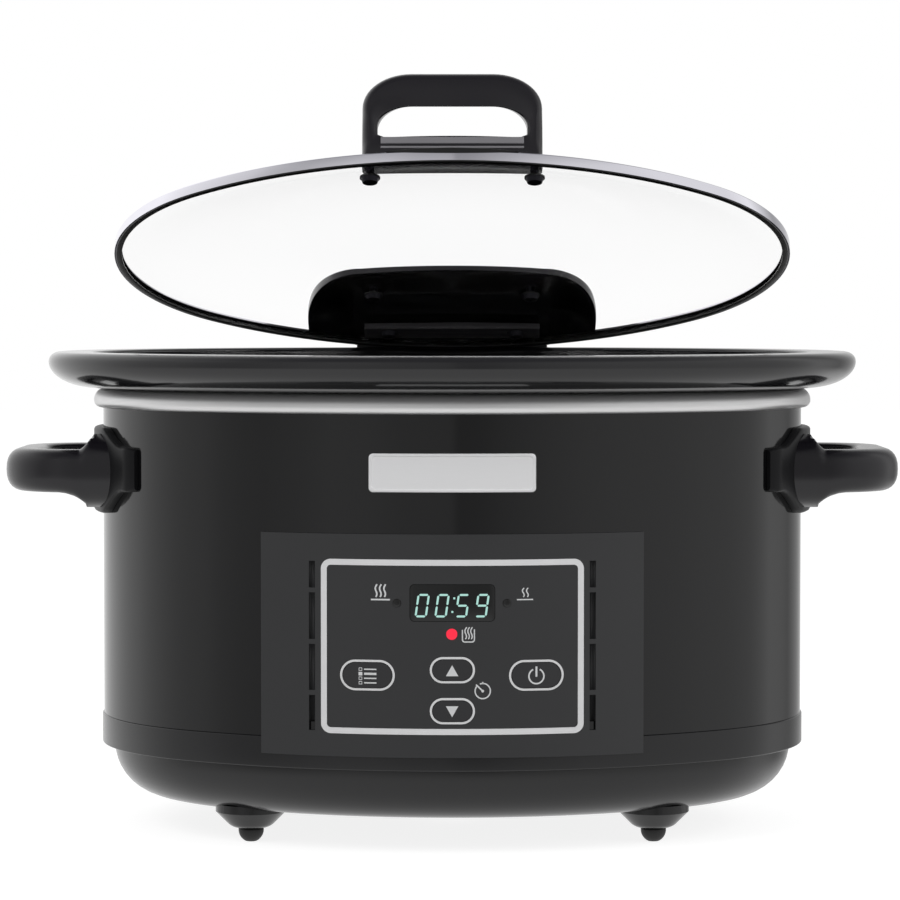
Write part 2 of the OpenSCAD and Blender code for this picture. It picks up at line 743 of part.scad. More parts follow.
module bracket_screw_places() for (x = [-1, 1]) translate([x * (bracket_w[1] / 2 - 6), half_d,
    bracket_low + 8])
  rotate([-90, 0, 0]) children();

module bracket_plan(inset) polygon([[-bracket_w[0] / 2 + inset, half_d - 20],
  [bracket_w[0] / 2 - inset, half_d - 20], [bracket_w[1] / 2 - inset, rear_y - inset],
  [-bracket_w[1] / 2 + inset, rear_y - inset]]);

module hinge_bracket() color(plastic_black) at_origin() difference() {
  translate([0, 0, bracket_low]) linear_extrude(bracket_top - bracket_low) difference() {
    bracket_plan(0);
    translate([0, -side_y]) circle(side_r);
  }
  // The hollow between the wall and the sockets, open below
  translate([0, 0,
      bracket_low - 1]) linear_extrude(bracket_top - bracket_low + 1 - bracket_wall) difference() {
    intersection() {
      bracket_plan(bracket_wall);
      translate([-far / 2, 0]) square([far, tongue_y - tongue_t / 2 - slip - bracket_wall]);
    }
    translate([0, -side_y]) circle(side_r + bracket_wall);
  }
  for (x = [-tongue_x, tongue_x]) translate([x - tongue_w / 2 - slip, tongue_y - tongue_t / 2 - slip,
    bracket_top - tongue_len - slip]) cube([tongue_w + 2 * slip, tongue_t + 2 * slip, tongue_len + 2]);
  bracket_screw_places() cylinder(r = screw_r + fit / 2, h = 2 * bracket_screw_out, center = true);
}

module bracket_screws() color(silver) at_origin() bracket_screw_places() {
  translate([0, 0, -bracket_screw_in]) cylinder(r = screw_r, h = bracket_screw_in + bracket_screw_out / 2);
  translate([0, 0, -bracket_screw_in - screw_head[1]]) cylinder(r = screw_head[0], h = screw_head[1]);
}

module hinge_foot() color(plastic_black) at_origin() difference() {
  union() {
    translate([-foot_bar_w / 2, arm_back_y, bracket_top + slip])
      cube([foot_bar_w, tongue_y + tongue_t / 2 + 1 - arm_back_y, foot_bar_h]);
    for (x = [-tongue_x, tongue_x]) translate([x - tongue_w / 2, tongue_y - tongue_t / 2,
        bracket_top - tongue_len])
      cube([tongue_w, tongue_t, tongue_len + slip + 1]);
    for (x = [-ear_x, ear_x]) translate([x - ear_w / 2, 0, 0]) {
      translate([0, pin_y, pin_z]) rotate([0, 90, 0]) cylinder(r = knuckle_r, h = ear_w);
      translate([0, pin_y - knuckle_r, bracket_top + slip + 1])
        cube([ear_w, 2 * knuckle_r, pin_z - bracket_top - slip - 1]);
    }
  }
  translate([-far / 2, pin_y, pin_z]) rotate([0, 90, 0]) cylinder(r = pin_r + pin_fit / 2, h = far);
}

module hinge_pin() color(silver) at_origin() translate([0, pin_y, pin_z]) rotate([0, 90, 0]) {
  cylinder(r = pin_r, h = arm_w + 2 * slip, center = true);
  for (x = [-1, 1]) translate([0, 0, x * (arm_w / 2 + slip + 0.75)]) cylinder(r = pin_r + 1.2, h = 1.5,
      center = true);
}

module cord_gland() color(rubber_black) at_origin() translate([0, half_d, gland_z]) rotate([-90, 0,
    0]) difference() {
  union() {
    translate([0, 0, -wall_t - 3]) cylinder(r = gland_r, h = wall_t + 3 + 1);
    translate([0, 0, 0]) cylinder(r = gland_flange[0], h = gland_flange[1]);
    translate([0, 0, gland_flange[1] - 0.1]) cylinder(r1 = gland_r, r2 = gland_bore_r + 1.4, h = 8.1);
    translate([0, 0, -wall_t - 3]) cylinder(r = gland_r + 1, h = 2);
  }
  translate([0, 0, -20]) cylinder(r = gland_bore_r, h = 40);
}

// ---- Crock ----

module crock() color("#141416") at_origin() {
  oval_sweep() polygon(concat(
    [[corner_g - 6, z_crock]],
    arc([corner_g, z_corner], corner_r, -90, 0),
    [[crock_g, z_rim - neck_h - 0.5], [-ring_in - neck_gap, z_rim]],
    arc([rim_flat_g, z_rim_top - rim_edge[1]], [rim_over - rim_flat_g, rim_h - rim_edge[1]], -90, 0),
    arc([rim_over - rim_edge[0], z_rim_top - rim_edge[1]], rim_edge, 18, 90, 4),
    arc([seat_wall_g[1] + seat_edge, z_rim_top - seat_edge], seat_edge, 90, 180, 4),
    [[seat_wall_g[0], z_seat + 1], [seat_wall_g[0] - 1, z_seat], [-seat_in, z_seat],
     [-seat_in - 1.5, z_seat - 1], [-ring_in - neck_gap - crock_t, z_rim - 3.5], [bowl_g,
         z_rim - neck_h - 3]],
    arc([corner_g, z_bowl + bowl_r], bowl_r, 0, -90),
    [[corner_g - 6, z_bowl]]));
  oval(corner_g - 4, z_crock, crock_floor_t);
}

// ---- Lid, drawn shut ----

function dome_z(g) = let(s = (g - dome_g[1]) / (dome_g[0] - dome_g[1])) dome_rise * (1 - s * s);
function dome_line(z) = concat([[glass_g, z]],
  [for (i = [0:curve_n]) let(g = dome_g[0] + (dome_g[1] - dome_g[0]) * i / curve_n) [g, z + dome_z(g)]],
  [[dome_g[1] - 2, z + dome_rise]]);

// Everything below the lid's upper face, to cut what stands on it
module lid_below() {
  oval_sweep() polygon(concat(dome_line(glass_top), [[dome_g[1] - 2, glass_low - 20], [glass_g,
      glass_low - 20]]));
  oval(dome_g[1] - 1, glass_low - 20, 20 + glass_t + dome_rise);
  oval_sweep() translate([-lid_inset - gasket_w - 0.2, glass_low - 20])
    square([gasket_w + 1.2, edge_top + fit - glass_low + 20]);
}

// Everything above the glass's lower face, to cut what lies under it
module lid_above() {
  oval_sweep() polygon(concat(dome_line(glass_low), [[dome_g[1] - 2, glass_top + 20], [glass_g,
      glass_top + 20]]));
  oval(dome_g[1] - 1, glass_low + dome_rise, 20);
}

// Height of the glass's lower face at a place near the middle of its front or rear
function under_glass(at) = glass_low + dome_z(norm([at[0], abs(at[1]) + side_y]) - side_r);

// Puts children under the glass at the given place and at its mirror image
module lid_screw_pair(at) for (x = [-1, 1]) translate([x * at[0], at[1], under_glass(at)]) children();

module lid_glass() color("#cfd8dc", 0.35) lid_pose() difference() {
  union() {
    oval_sweep() polygon(concat(dome_line(glass_top),
        [for (i = [curve_n + 2:-1:0]) dome_line(glass_low)[i]]));
    oval(dome_g[1] - 1, glass_low + dome_rise, glass_t);
  }
  for (at = [grip_screw_at, cover_screw_at, clamp_at]) lid_screw_pair(at)
    cylinder(r = lid_hole_r, h = 4 * glass_t, center = true);
}

module lid_band() color(silver) lid_pose() oval_sweep() polygon([
  [-lid_inset, edge_low + 0.3], [-lid_inset, edge_top - lid_band_t], [-lid_inset - lid_band_t, edge_top],
  [-lid_inset - lip_in, edge_top], [-lid_inset - lip_in, edge_top - lid_band_t + 0.1],
  [-lid_inset - lid_band_t, edge_top - lid_band_t + 0.1], [-lid_inset - lid_band_t, edge_low + 0.3]]);

module lid_gasket() color(rubber_black) lid_pose() let(g = -lid_inset - lid_band_t,
    top = edge_top - lid_band_t + 0.1)
  oval_sweep() polygon([[g, edge_low], [g, top], [-lid_inset - gasket_w, top], [-lid_inset - gasket_w,
      glass_top],
    [glass_g, glass_top], [glass_g, glass_low], [-lid_inset - gasket_w, glass_low],
        [-lid_inset - gasket_w, edge_low]]);

// The handle's outline: corner arcs are quarters of an ellipse
module grip_outline(w, h, corner) polygon(let(right = arc([w / 2 - corner[0], h - corner[1]], corner, 0, 90))
  concat([[w / 2, 0]], right, mirrored(right), [[-w / 2, 0]]));

module lid_handle() color(plastic_black) lid_pose() difference() {
  union() {
    intersection() {
      along_y(grip_face_y, grip_y + grip_d) translate([0, edge_low]) difference() {
        grip_outline(grip_w, grip_top, grip_corner);
        translate([0, lid_edge_h + grip_base])
          grip_outline(grip_w - 2 * grip_leg, grip_h - grip_bar - grip_base, grip_hole_corner);
      }
      // Side view, with the top edges rounded and the top narrower than the foot
      along_x(-grip_w, grip_w) translate([0, edge_low]) polygon(concat([[grip_face_y, 0]],
        arc([grip_face_y + 1 + grip_edge_r[0], grip_top - grip_edge_r[0]], grip_edge_r[0], 180, 90, 5),
        arc([grip_y + grip_d - 1.5 - grip_edge_r[1], grip_top - grip_edge_r[1]], grip_edge_r[1], 90, 0, 5),
        [[grip_y + grip_d, 0]]));
    }
    // The thin pad in front of the handle's foot, with a bowed front edge
    intersection() {
      along_y(grip_y - 1, grip_face_y + 2) translate([-grip_pad_w / 2, glass_low]) square([grip_pad_w,
          edge_top - glass_low]);
      let(deep = grip_face_y - grip_y, r = (pow(grip_pad_w / 2, 2) + deep * deep) / (2 * deep))
        translate([0, grip_y + r, glass_low]) cylinder(r = r, h = far, $fn = 3 * $fn);
    }
  }
  lid_below();
  lid_screw_pair(grip_screw_at) cylinder(r = lid_screw_r + fit / 2, h = lid_screw_len + 0.5);
}

// Screws that hold the handle and the hinge arm, and the soft washers under the handle and the cover
module lid_screw(drop, long) translate([0, 0, -drop - lid_head[1]]) {
  cylinder(r = lid_head[0], h = lid_head[1]);
  cylinder(r = lid_screw_r, h = lid_head[1] + drop + long);
}

module lid_screws() color(silver) lid_pose() {
  lid_screw_pair(grip_screw_at) lid_screw(washer[1], lid_screw_len);
  lid_screw_pair(clamp_at) lid_screw(clamp_size[2], lid_screw_len);
}

module cover_screws() color(silver) lid_pose() lid_screw_pair(cover_screw_at) lid_screw(washer[1],
    cover_screw_len);

module lid_washers() color(rubber_black) lid_pose() for (at = [grip_screw_at,
    cover_screw_at]) lid_screw_pair(at)
  translate([0, 0, -washer[1]]) difference() {
    cylinder(r = washer[0], h = washer[1] - washer_gap);
    translate([0, 0, -1]) cylinder(r = lid_screw_r + fit, h = washer[1] + 2);
  }

module clamp_plate() color("#6a6a70") lid_pose() difference() {
  translate([-clamp_size[0] / 2, clamp_at[1] - clamp_size[1] / 2, under_glass(clamp_at) - clamp_size[2]])
    cube([clamp_size[0], clamp_size[1], 2 * clamp_size[2]]);
  lid_screw_pair(clamp_at) cylinder(r = lid_screw_r + fit, h = 20, center = true);
  lid_above();
}

// The arm seen from the side: a gooseneck from the glass over the crock's rim down to the pin
arm_line = concat([[arm_front_y, glass_low], [arm_front_y, edge_top + arm_front_h], [arm_rise_y,
    arm_low_z + arm_t]],
  arc([arm_back_y + arm_t - arm_corner_r, arm_low_z + arm_t - arm_corner_r], arm_corner_r, 90, 0),
  [[arm_back_y + arm_t, pin_z], [arm_back_y, pin_z]],
  arc([arm_back_y + arm_t - arm_corner_r, arm_low_z + arm_t - arm_corner_r], arm_corner_r - arm_t, 0, 90, 5),
  [[arm_step_y, arm_low_z], [arm_step_y, glass_low]]);

module hinge_arm() color(plastic_black) lid_pose() difference() {
  union() {
    along_x(-arm_w / 2, arm_w / 2) polygon(arm_line);
    translate([-arm_w / 2, pin_y, pin_z]) rotate([0, 90, 0]) cylinder(r = knuckle_r, h = arm_w);
  }
  lid_below();
  translate([-arm_w, pin_y, pin_z]) rotate([0, 90, 0]) cylinder(r = pin_r + pin_fit, h = 2 * arm_w);
  for (x = [-ear_x, ear_x]) translate([x - ear_w / 2 - slip, pin_y, pin_z]) rotate([0, 90, 0])
    cylinder(r = knuckle_r + 0.6, h = ear_w + 2 * slip);
  lid_screw_pair(clamp_at) cylinder(r = lid_screw_r + fit / 2, h = lid_screw_len + 0.5);
}

// The cover's outer form, or its inner one when t is its wall: plan, side view and rear view together
module cover_form(t) {
  front = half_d - lid_inset - cover_len + t;
  half = cover_w / 2 - t;
  top = edge_top + cover_h - t;
  intersection() {
    translate([0, 0, glass_low]) linear_extrude(far) let(corner = cover_corner - [t, t],
      side = arc([half - corner[0], front + corner[1]], corner, 0, -90))
      polygon(concat([[half, half_d + 5]], side, mirrored(side), [[-half, half_d + 5]]));
    translate([0, front - t + cover_bow_r, glass_low]) cylinder(r = cover_bow_r - t, h = far, $fn = 3 * $fn);
    oval(cover_rear_g - t, glass_low, far);
    along_x(-far, far) polygon([[front, 0], [front, edge_top + cover_edge_h - t / 4],
      [front + cover_rise_len, top], [half_d - 8, top], [half_d + 2, top - 5], [half_d + 2, 0]]);
    along_y(0, far) polygon(concat([[half + 1, 0]], arc([half - 13, top - 10], [10, 10], 25, 90, 4),
      mirrored(arc([half - 13, top - 10], [10, 10], 25, 90, 4)), [[-half - 1, 0]]));
  }
}

module hinge_cover() color(plastic_black) lid_pose() difference() {
  union() {
    difference() {
      cover_form(0);
      cover_form(cover_t);
    }
    // Screw bosses with their rings and cross ribs
    intersection() {
      cover_form(cover_t / 2);
      lid_screw_pair(cover_screw_at) {
        cylinder(r = cover_boss_r[0], h = cover_h);
        difference() {
          cylinder(r = cover_boss_r[1], h = cover_h);
          translate([0, 0, -1]) cylinder(r = cover_boss_r[1] - 1.2, h = cover_h + 2);
        }
        translate([0, 0, cover_h / 2]) cube([4 * cover_boss_r[0], 1, cover_h], center = true);
        translate([0, 0, cover_h / 2]) cube([1, 4 * cover_boss_r[0], cover_h], center = true);
      }
    }
  }
  lid_below();
  // The arm's way out
  along_x(-arm_w / 2 - slip, arm_w / 2 + slip) {
    polygon(concat(slid(arm_line, -slip, slip), [[arm_front_y, 0]]));
    polygon(slid(arm_line, slip, -slip));
  }
  lid_screw_pair(cover_screw_at) cylinder(r = lid_screw_r + fit / 2, h = cover_screw_len + 0.5);
}

outer_housing();
lower_band();
base_pan();
feet();
foot_pads();
steel_rim();
heating_well();
heater_band();
insulation();
centre_stud();
stud_nut();
power_board();
side_handle_left();
side_handle_right();
handle_screws();
control_panel();
panel_frame();
button_rings();
display_window();
display_module();
indicator_leds();
menu_button();
power_button();
up_button();
down_button();
key_switches();
control_board();
board_screws();
badge_plate();
cord_gland();
hinge_bracket();
bracket_screws();
hinge_foot();
hinge_pin();
crock();
lid_glass();
lid_band();
lid_gasket();
lid_handle();
lid_washers();
lid_screws();
hinge_arm();
hinge_cover();
cover_screws();
clamp_plate();
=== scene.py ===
"""Dresses the slow cooker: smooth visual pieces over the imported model, with a finish on each."""

import logging
import math
from dataclasses import dataclass, field
from enum import Enum
from functools import partial
from typing import Callable, Iterable, Sequence

import bmesh
import bpy
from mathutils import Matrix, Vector


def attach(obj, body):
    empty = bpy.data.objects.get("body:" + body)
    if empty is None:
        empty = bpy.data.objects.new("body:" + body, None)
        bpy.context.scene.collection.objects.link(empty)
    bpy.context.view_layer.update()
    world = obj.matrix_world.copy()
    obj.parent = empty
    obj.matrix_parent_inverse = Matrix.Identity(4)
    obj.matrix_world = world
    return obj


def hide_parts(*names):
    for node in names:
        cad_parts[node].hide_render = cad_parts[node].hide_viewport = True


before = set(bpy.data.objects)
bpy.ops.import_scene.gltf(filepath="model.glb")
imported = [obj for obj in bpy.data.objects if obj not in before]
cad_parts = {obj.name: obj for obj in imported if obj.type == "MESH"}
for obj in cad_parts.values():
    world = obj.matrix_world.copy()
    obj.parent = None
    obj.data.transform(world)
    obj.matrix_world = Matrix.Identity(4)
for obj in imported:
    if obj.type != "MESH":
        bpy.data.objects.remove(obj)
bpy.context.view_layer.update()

log = logging.getLogger("slow_cooker")

MM = 0.001
Point2 = tuple[float, float]
Point3 = tuple[float, float, float]
Colour = tuple[float, float, float]
Tree = bpy.types.NodeTree
Node = bpy.types.Node
Socket = bpy.types.NodeSocket

# The model's origin lies behind the oval's centre, because the hinge bracket stands out at the rear
CENTRE_Y = 6.85

# Heights of the joins, in millimetres from the table up
Z_BAND = 37.3
Z_WALL = 50.8
Z_RING = 187.2
Z_RIM = 196.0
Z_RIM_TOP = 211.8
Z_SEAT = 198.6

# The lid's hinge pin, the angle at which the lid stands open, and the heights in its edge while it is shut
PIN_Y = 149.8
PIN_Z = 194.0
LID_OPEN = 20.9
EDGE_LOW = 199.2
EDGE_TOP = 204.0
GLASS_LOW = 200.0
GLASS_TOP = 203.0
GLASS_T = 3.0

# In metres: how near points are joined, in the pieces made here and in the solids, and how deep the bump goes
SAME_POINT = 2e-7
SAME_POINT_CAD = 2e-6
BUMP_DEPTH = 0.0002


class Body(str, Enum):
    """The rigid bodies that pieces ride on, apart from the buttons' own."""

    BASE = "base"
    CROCK = "crock"
    FOOT = "hinge_foot"
    LID = "lid"


# ---------------------------------------------------------------- oval geometry


@dataclass(frozen=True)
class Oval:
    """The housing's plan: four arcs on 3-4-5 triangles, whose offsets g are true parallels."""

    half_w: float = 156.3
    half_d: float = 120.1
    end_steps: int = 44
    side_steps: int = 60
    corner: float = math.degrees(math.atan2(4, 3))

    @property
    def end_x(self) -> float:
        """How far the end arcs' centres lie from the middle."""
        return 3 * (self.half_w - self.half_d) / 2

    @property
    def side_y(self) -> float:
        """How far the side arcs' centres lie from the middle."""
        return 4 * (self.half_w - self.half_d) / 2

    @property
    def end_r(self) -> float:
        """Radius of an end arc at g = 0."""
        return self.half_w - self.end_x

    @property
    def side_r(self) -> float:
        """Radius of a side arc at g = 0."""
        return self.half_d + self.side_y

    def at(self, angle: float, g: float) -> Point2:
        """Finds the plan point whose outward normal has the given direction.

        Args:
            angle: direction of the outward normal, in degrees from +X.
            g: distance outside the housing wall, in millimetres.

        Returns:
            The point's x and y.
        """
        turn = (angle + 180.0) % 360.0 - 180.0
        c, s = math.cos(math.radians(turn)), math.sin(math.radians(turn))
        if abs(turn) <= self.corner:
            return self.end_x + (self.end_r + g) * c, (self.end_r + g) * s
        if abs(turn) >= 180.0 - self.corner:
            return -self.end_x + (self.end_r + g) * c, (self.end_r + g) * s
        side = 1.0 if turn > 0 else -1.0
        return (self.side_r + g) * c, (self.side_r + g) * s - side * self.side_y

    def stations(self) -> list[float]:
        """Normal directions all the way round, closer together where the bend is tighter."""
        turn = self.corner
        spans = ((-turn, turn, self.end_steps), (turn, 180 - turn, self.side_steps),
                 (180 - turn, 180 + turn, self.end_steps), (180 + turn, 360 - turn, self.side_steps))
        return [start + (end - start) * i / steps for start, end, steps in spans for i in range(steps)]

    def front_y(self, x: float, g: float) -> float:
        """y of the front wall's parallel g at the given x."""
        return self.side_y - math.sqrt((self.side_r + g) ** 2 - x * x)

    def g_at(self, x: float, y: float) -> float:
        """Offset g of a plan point that lies in the front or the rear sector."""
        return math.hypot(x, abs(y) + self.side_y) - self.side_r


OVAL = Oval()


def arc(cx: float, cy: float, rx: float, start: float, end: float, steps: int = 10,
        ry: float | None = None) -> list[Point2]:
    """Points of an arc, or of part of an ellipse.

    Args:
        cx: centre, first coordinate.
        cy: centre, second coordinate.
        rx: radius along the first coordinate.
        start: first angle in degrees.
        end: last angle in degrees.
        steps: number of chords.
        ry: radius along the second coordinate, the same as rx if left out.

    Returns:
        The points in order.
    """
    up = rx if ry is None else ry
    turns = (math.radians(start + (end - start) * i / steps) for i in range(steps + 1))
    return [(cx + rx * math.cos(t), cy + up * math.sin(t)) for t in turns]


def filleted(corners: Sequence[Point3], steps: int = 4) -> list[Point2]:
    """Rounds the corners of a closed outline.

    Args:
        corners: x, y and rounding radius of each corner; radius 0 stays sharp.
        steps: chords in each rounded corner.

    Returns:
        The outline's points.
    """
    points: list[Point2] = []
    for i, (x, y, r) in enumerate(corners):
        if r <= 0:
            points.append((x, y))
            continue
        here = Vector((x, y))
        back = (Vector(corners[i - 1][:2]) - here).normalized()
        ahead = (Vector(corners[(i + 1) % len(corners)][:2]) - here).normalized()
        half = back.angle(ahead) / 2
        centre = here + (back + ahead).normalized() * (r / math.sin(half))
        first = here + back * (r / math.tan(half)) - centre
        last = here + ahead * (r / math.tan(half)) - centre
        sweep = first.angle(last)
        for k in range(steps + 1):
            t = k / steps
            p = centre + (first * math.sin((1 - t) * sweep) + last * math.sin(t * sweep)) / math.sin(sweep)
            points.append((p.x, p.y))
    return points


# ---------------------------------------------------------------- meshes


def to_row(p: Sequence[float]) -> Vector:
    """Turns a point in millimetres about the oval's centre into metres in the model's frame."""
    return Vector((p[0] * MM, (p[1] - CENTRE_Y) * MM, p[2] * MM))


def opened(p: Sequence[float]) -> Point3:
    """Carries a point of the shut lid to where the lid stands open."""
    turn = math.radians(LID_OPEN)
    y, z = p[1] - PIN_Y, p[2] - PIN_Z
    c, s = math.cos(turn), math.sin(turn)
    return p[0], PIN_Y + y * c + z * s, PIN_Z - y * s + z * c


def placed(name: str, data: bpy.types.ID) -> bpy.types.Object:
    """Makes an object of a mesh, lamp or camera and puts it in the scene."""
    thing = bpy.data.objects.new(name, data)
    bpy.context.scene.collection.objects.link(thing)
    return thing


def cleaned(mesh: bpy.types.Mesh, near: float, flat: bool = False) -> None:
    """Joins a mesh's doubled points and turns its faces outwards.

    Args:
        mesh: the mesh.
        near: distance in metres within which points are joined.
        flat: whether faces that lie in one plane are joined too.
    """
    bm = bmesh.new()
    bm.from_mesh(mesh)
    bmesh.ops.remove_doubles(bm, verts=bm.verts, dist=near)
    if flat:
        bmesh.ops.dissolve_limit(bm, angle_limit=math.radians(1.0), verts=bm.verts, edges=bm.edges)
    bmesh.ops.recalc_face_normals(bm, faces=bm.faces)
    bm.to_mesh(mesh)
    bm.free()


def shaded(mesh: bpy.types.Mesh, sharp: float) -> None:
    """Shades a mesh smooth, but for edges that bend more than the given degrees."""
    mesh.polygons.foreach_set("use_smooth", [True] * len(mesh.polygons))
    mesh.set_sharp_from_angle(angle=math.radians(sharp))


def settled(thing: bpy.types.Object) -> None:
    """Puts what an object's modifiers make into its mesh and drops the modifiers."""
    bpy.context.view_layer.update()
    made = bpy.data.meshes.new_from_object(thing.evaluated_get(bpy.context.evaluated_depsgraph_get()))
    thing.modifiers.clear()
    thing.data = made


@dataclass
class Shape:
    """A mesh in the making, in millimetres about the oval's centre."""

    points: list[Point3] = field(default_factory=list)
    faces: list[tuple[int, ...]] = field(default_factory=list)

    def add(self, points: Iterable[Sequence[float]], faces: Iterable[Sequence[int]]) -> "Shape":
        """Adds points and the faces between them, and returns the shape."""
        base = len(self.points)
        self.points += [tuple(p) for p in points]
        self.faces += [tuple(base + i for i in f) for f in faces]
        return self

    def grid(self, rows: Sequence[Sequence[Sequence[float]]], wrap_rows: bool, wrap_cols: bool,
             caps: bool = False) -> "Shape":
        """Adds a net of quads over rows of points.

        Args:
            rows: rows of equal length.
            wrap_rows: joins the last row to the first.
            wrap_cols: joins the last point of each row to its first.
            caps: closes the first and the last row with one face each.

        Returns:
            The shape.
        """
        wide, high = len(rows[0]), len(rows)
        quads = []
        for i in range(high if wrap_rows else high - 1):
            this, after = i * wide, (i + 1) % high * wide
            for j in range(wide if wrap_cols else wide - 1):
                k = (j + 1) % wide
                quads.append((this + j, this + k, after + k, after + j))
        if caps:
            quads += [tuple(range(wide)), tuple(range((high - 1) * wide, high * wide))]
        return self.add((p for row in rows for p in row), quads)

    def moved(self, move: Callable[[Point3], Sequence[float]]) -> "Shape":
        """Moves every point by a rule and returns the shape."""
        self.points = [tuple(move(p)) for p in self.points]
        return self

    def build(self, name: str, body: str, finish: "Finish", stands_for: Sequence[str] = (),
              sharp: float = 35.0) -> None:
        """Makes the object, dresses it and hands it to its body.

        Args:
            name: the piece's name.
            body: the body that it rides on.
            finish: its finish.
            stands_for: the solids that it replaces.
            sharp: edges that bend more than this many degrees stay crisp.
        """
        mesh = bpy.data.meshes.new(name)
        mesh.from_pydata([to_row(p) for p in self.points], [], self.faces)
        cleaned(mesh, SAME_POINT)
        shaded(mesh, sharp)
        hand_over(placed(name, mesh), body, finish, stands_for)


def hand_over(thing: bpy.types.Object, body: str, finish: "Finish", stands_for: Sequence[str] = ()) -> None:
    """Dresses a finished object, gives it to its body and reports it.

    Args:
        thing: the object.
        body: the body that it rides on.
        finish: its finish.
        stands_for: the solids that it replaces.
    """
    thing.data.materials.clear()
    thing.data.materials.append(finish.material())
    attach(thing, str(getattr(body, "value", body)))
    if stands_for:
        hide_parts(*stands_for)
    log.info("%s: %d faces, %s", thing.name, len(thing.data.polygons), finish.slot)


def swept(profile: Sequence[Point2], capped: bool = False) -> Shape:
    """Carries a profile round the oval.

    Args:
        profile: points of g and height; closed on itself unless capped.
        capped: the profile's two ends are closed with flat faces.

    Returns:
        The closed shape.
    """
    rows = [[(*OVAL.at(turn, g), z) for g, z in profile] for turn in OVAL.stations()]
    shape = Shape().grid(rows, True, not capped)
    if capped:
        wide = len(profile)
        shape.faces += [tuple(i * wide + end for i in range(len(rows))) for end in (0, wide - 1)]
    return shape


def turned(profile: Sequence[Point2], steps: int) -> Shape:
    """Turns a profile of radius and height about the Z axis; it closes on the axis at both ends."""
    turns = [2 * math.pi * i / steps for i in range(steps)]
    rows = [[(r * math.cos(t), r * math.sin(t), z) for r, z in profile] for t in turns]
    return Shape().grid(rows, True, False)


def on_front(x: float, z: float, g: float) -> Point3:
    """A place on the front wall's parallel g."""
    return x, OVAL.front_y(x, g), z


def front_plate(outline: Sequence[Point2], levels: Sequence[Point2]) -> Shape:
    """A plate that follows the front wall.

    Args:
        outline: its outline in x and z, in matching columns as plate_outline makes it.
        levels: how far the outline is drawn in, and its g, from the back over the edge to the face.

    Returns:
        The closed shape.
    """
    cx = sum(p[0] for p in outline) / len(outline)
    cz = sum(p[1] for p in outline) / len(outline)

    def drawn(value: float, middle: float, inset: float) -> float:
        """Draws a coordinate in towards the middle, though never past it."""
        return value - math.copysign(min(inset, abs(value - middle)), value - middle)

    rows = [[on_front(drawn(x, cx, inset), drawn(z, cz, inset), g) for x, z in outline]
            for inset, g in levels]
    shape = Shape().grid(rows, False, True)
    # Both faces are cut into columns, so that they keep the wall's curve
    for row in (0, len(rows) - 1):
        shape.faces += strips(len(outline), row * len(outline))
    return shape


def strips(count: int, base: int) -> list[tuple[int, ...]]:
    """Faces that fill a loop whose upper half mirrors its lower half, pairing upper and lower points.

    Args:
        count: how many points the loop has, in order from the right along the top to the left and back.
        base: index of its first point.

    Returns:
        The faces.
    """
    pairs = [(base + i, base + count - 1 - i) for i in range(count // 2)]
    return [(a, c, d, b) for (a, b), (c, d) in zip(pairs, pairs[1:])]


def line_on_front(path: Sequence[Point2], wide: float, low: float, high: float,
                  closed: bool = False) -> Shape:
    """A printed or inlaid line that follows the front wall.

    Args:
        path: points of its middle in x and z.
        wide: its width.
        low: g of its back.
        high: g of its face.
        closed: whether its ends join.

    Returns:
        The closed shape.
    """
    rows = []
    count = len(path)
    for i, (x, z) in enumerate(path):
        before = path[i - 1] if (closed or i > 0) else path[i]
        after = path[(i + 1) % count] if (closed or i < count - 1) else path[i]
        run = Vector((after[0] - before[0], after[1] - before[1])).normalized()
        nx, nz = -run.y * wide / 2, run.x * wide / 2
        rows.append([on_front(x + nx, z + nz, low), on_front(x + nx, z + nz, high),
                     on_front(x - nx, z - nz, high), on_front(x - nx, z - nz, low)])
    return Shape().grid(rows, closed, True, caps=not closed)


def patch_on_front(outline: Sequence[Point2], low: float, high: float) -> Shape:
    """A small printed patch with the given outline in x and z, between two parallels of the front wall."""
    rows = [[on_front(x, z, g) for x, z in outline] for g in (low, high)]
    return Shape().grid(rows, False, True, caps=True)


def box_outline(cx: float, cz: float, half_w: float, half_h: float) -> list[Point2]:
    """The corners of a rectangle about a middle."""
    return [(cx + x * half_w, cz + z * half_h) for x, z in ((-1, -1), (1, -1), (1, 1), (-1, 1))]


def together(shapes: Iterable[Shape]) -> Shape:
    """Joins shapes into one."""
    whole = Shape()
    for shape in shapes:
        whole.add(shape.points, shape.faces)
    return whole


def plate_outline(w: float, h: float, r: float, cz: float, columns: int = 24, steps: int = 5) -> list[Point2]:
    """A rounded rectangle whose upper and lower edges have matching points, for front_plate.

    Args:
        w: width.
        h: height.
        r: corner radius.
        cz: middle, z.
        columns: spaces along the straight edges.
        steps: chords in each corner.

    Returns:
        The outline, from the right end along the top to the left end and back along the bottom.
    """
    right, top = w / 2 - r, cz + h / 2 - r
    upper = arc(right, top, r, 0, 90, steps)
    upper += [(right - 2 * right * k / columns, top + r) for k in range(1, columns)]
    upper += arc(-right, top, r, 90, 180, steps)
    return upper + [(x, 2 * cz - z) for x, z in reversed(upper)]


# ---------------------------------------------------------------- finishes

COLOUR = "NodeSocketColor"
NUMBER = "NodeSocketFloat"
VECTOR = "NodeSocketVector"


def add_node(tree: Tree, kind: str, inputs: dict | None = None, **settings: object) -> Node:
    """Adds a node to a tree.

    Args:
        tree: the tree.
        kind: the node's type.
        inputs: for inputs by name or number, their values or the sockets that lead to them.
        settings: the node's own settings, which are set before its inputs.

    Returns:
        The node.
    """
    node = tree.nodes.new(kind)
    for name, value in settings.items():
        setattr(node, name, value)
    for key, value in (inputs or {}).items():
        if isinstance(value, Socket):
            tree.links.new(value, node.inputs[key])
        else:
            node.inputs[key].default_value = value
    return node


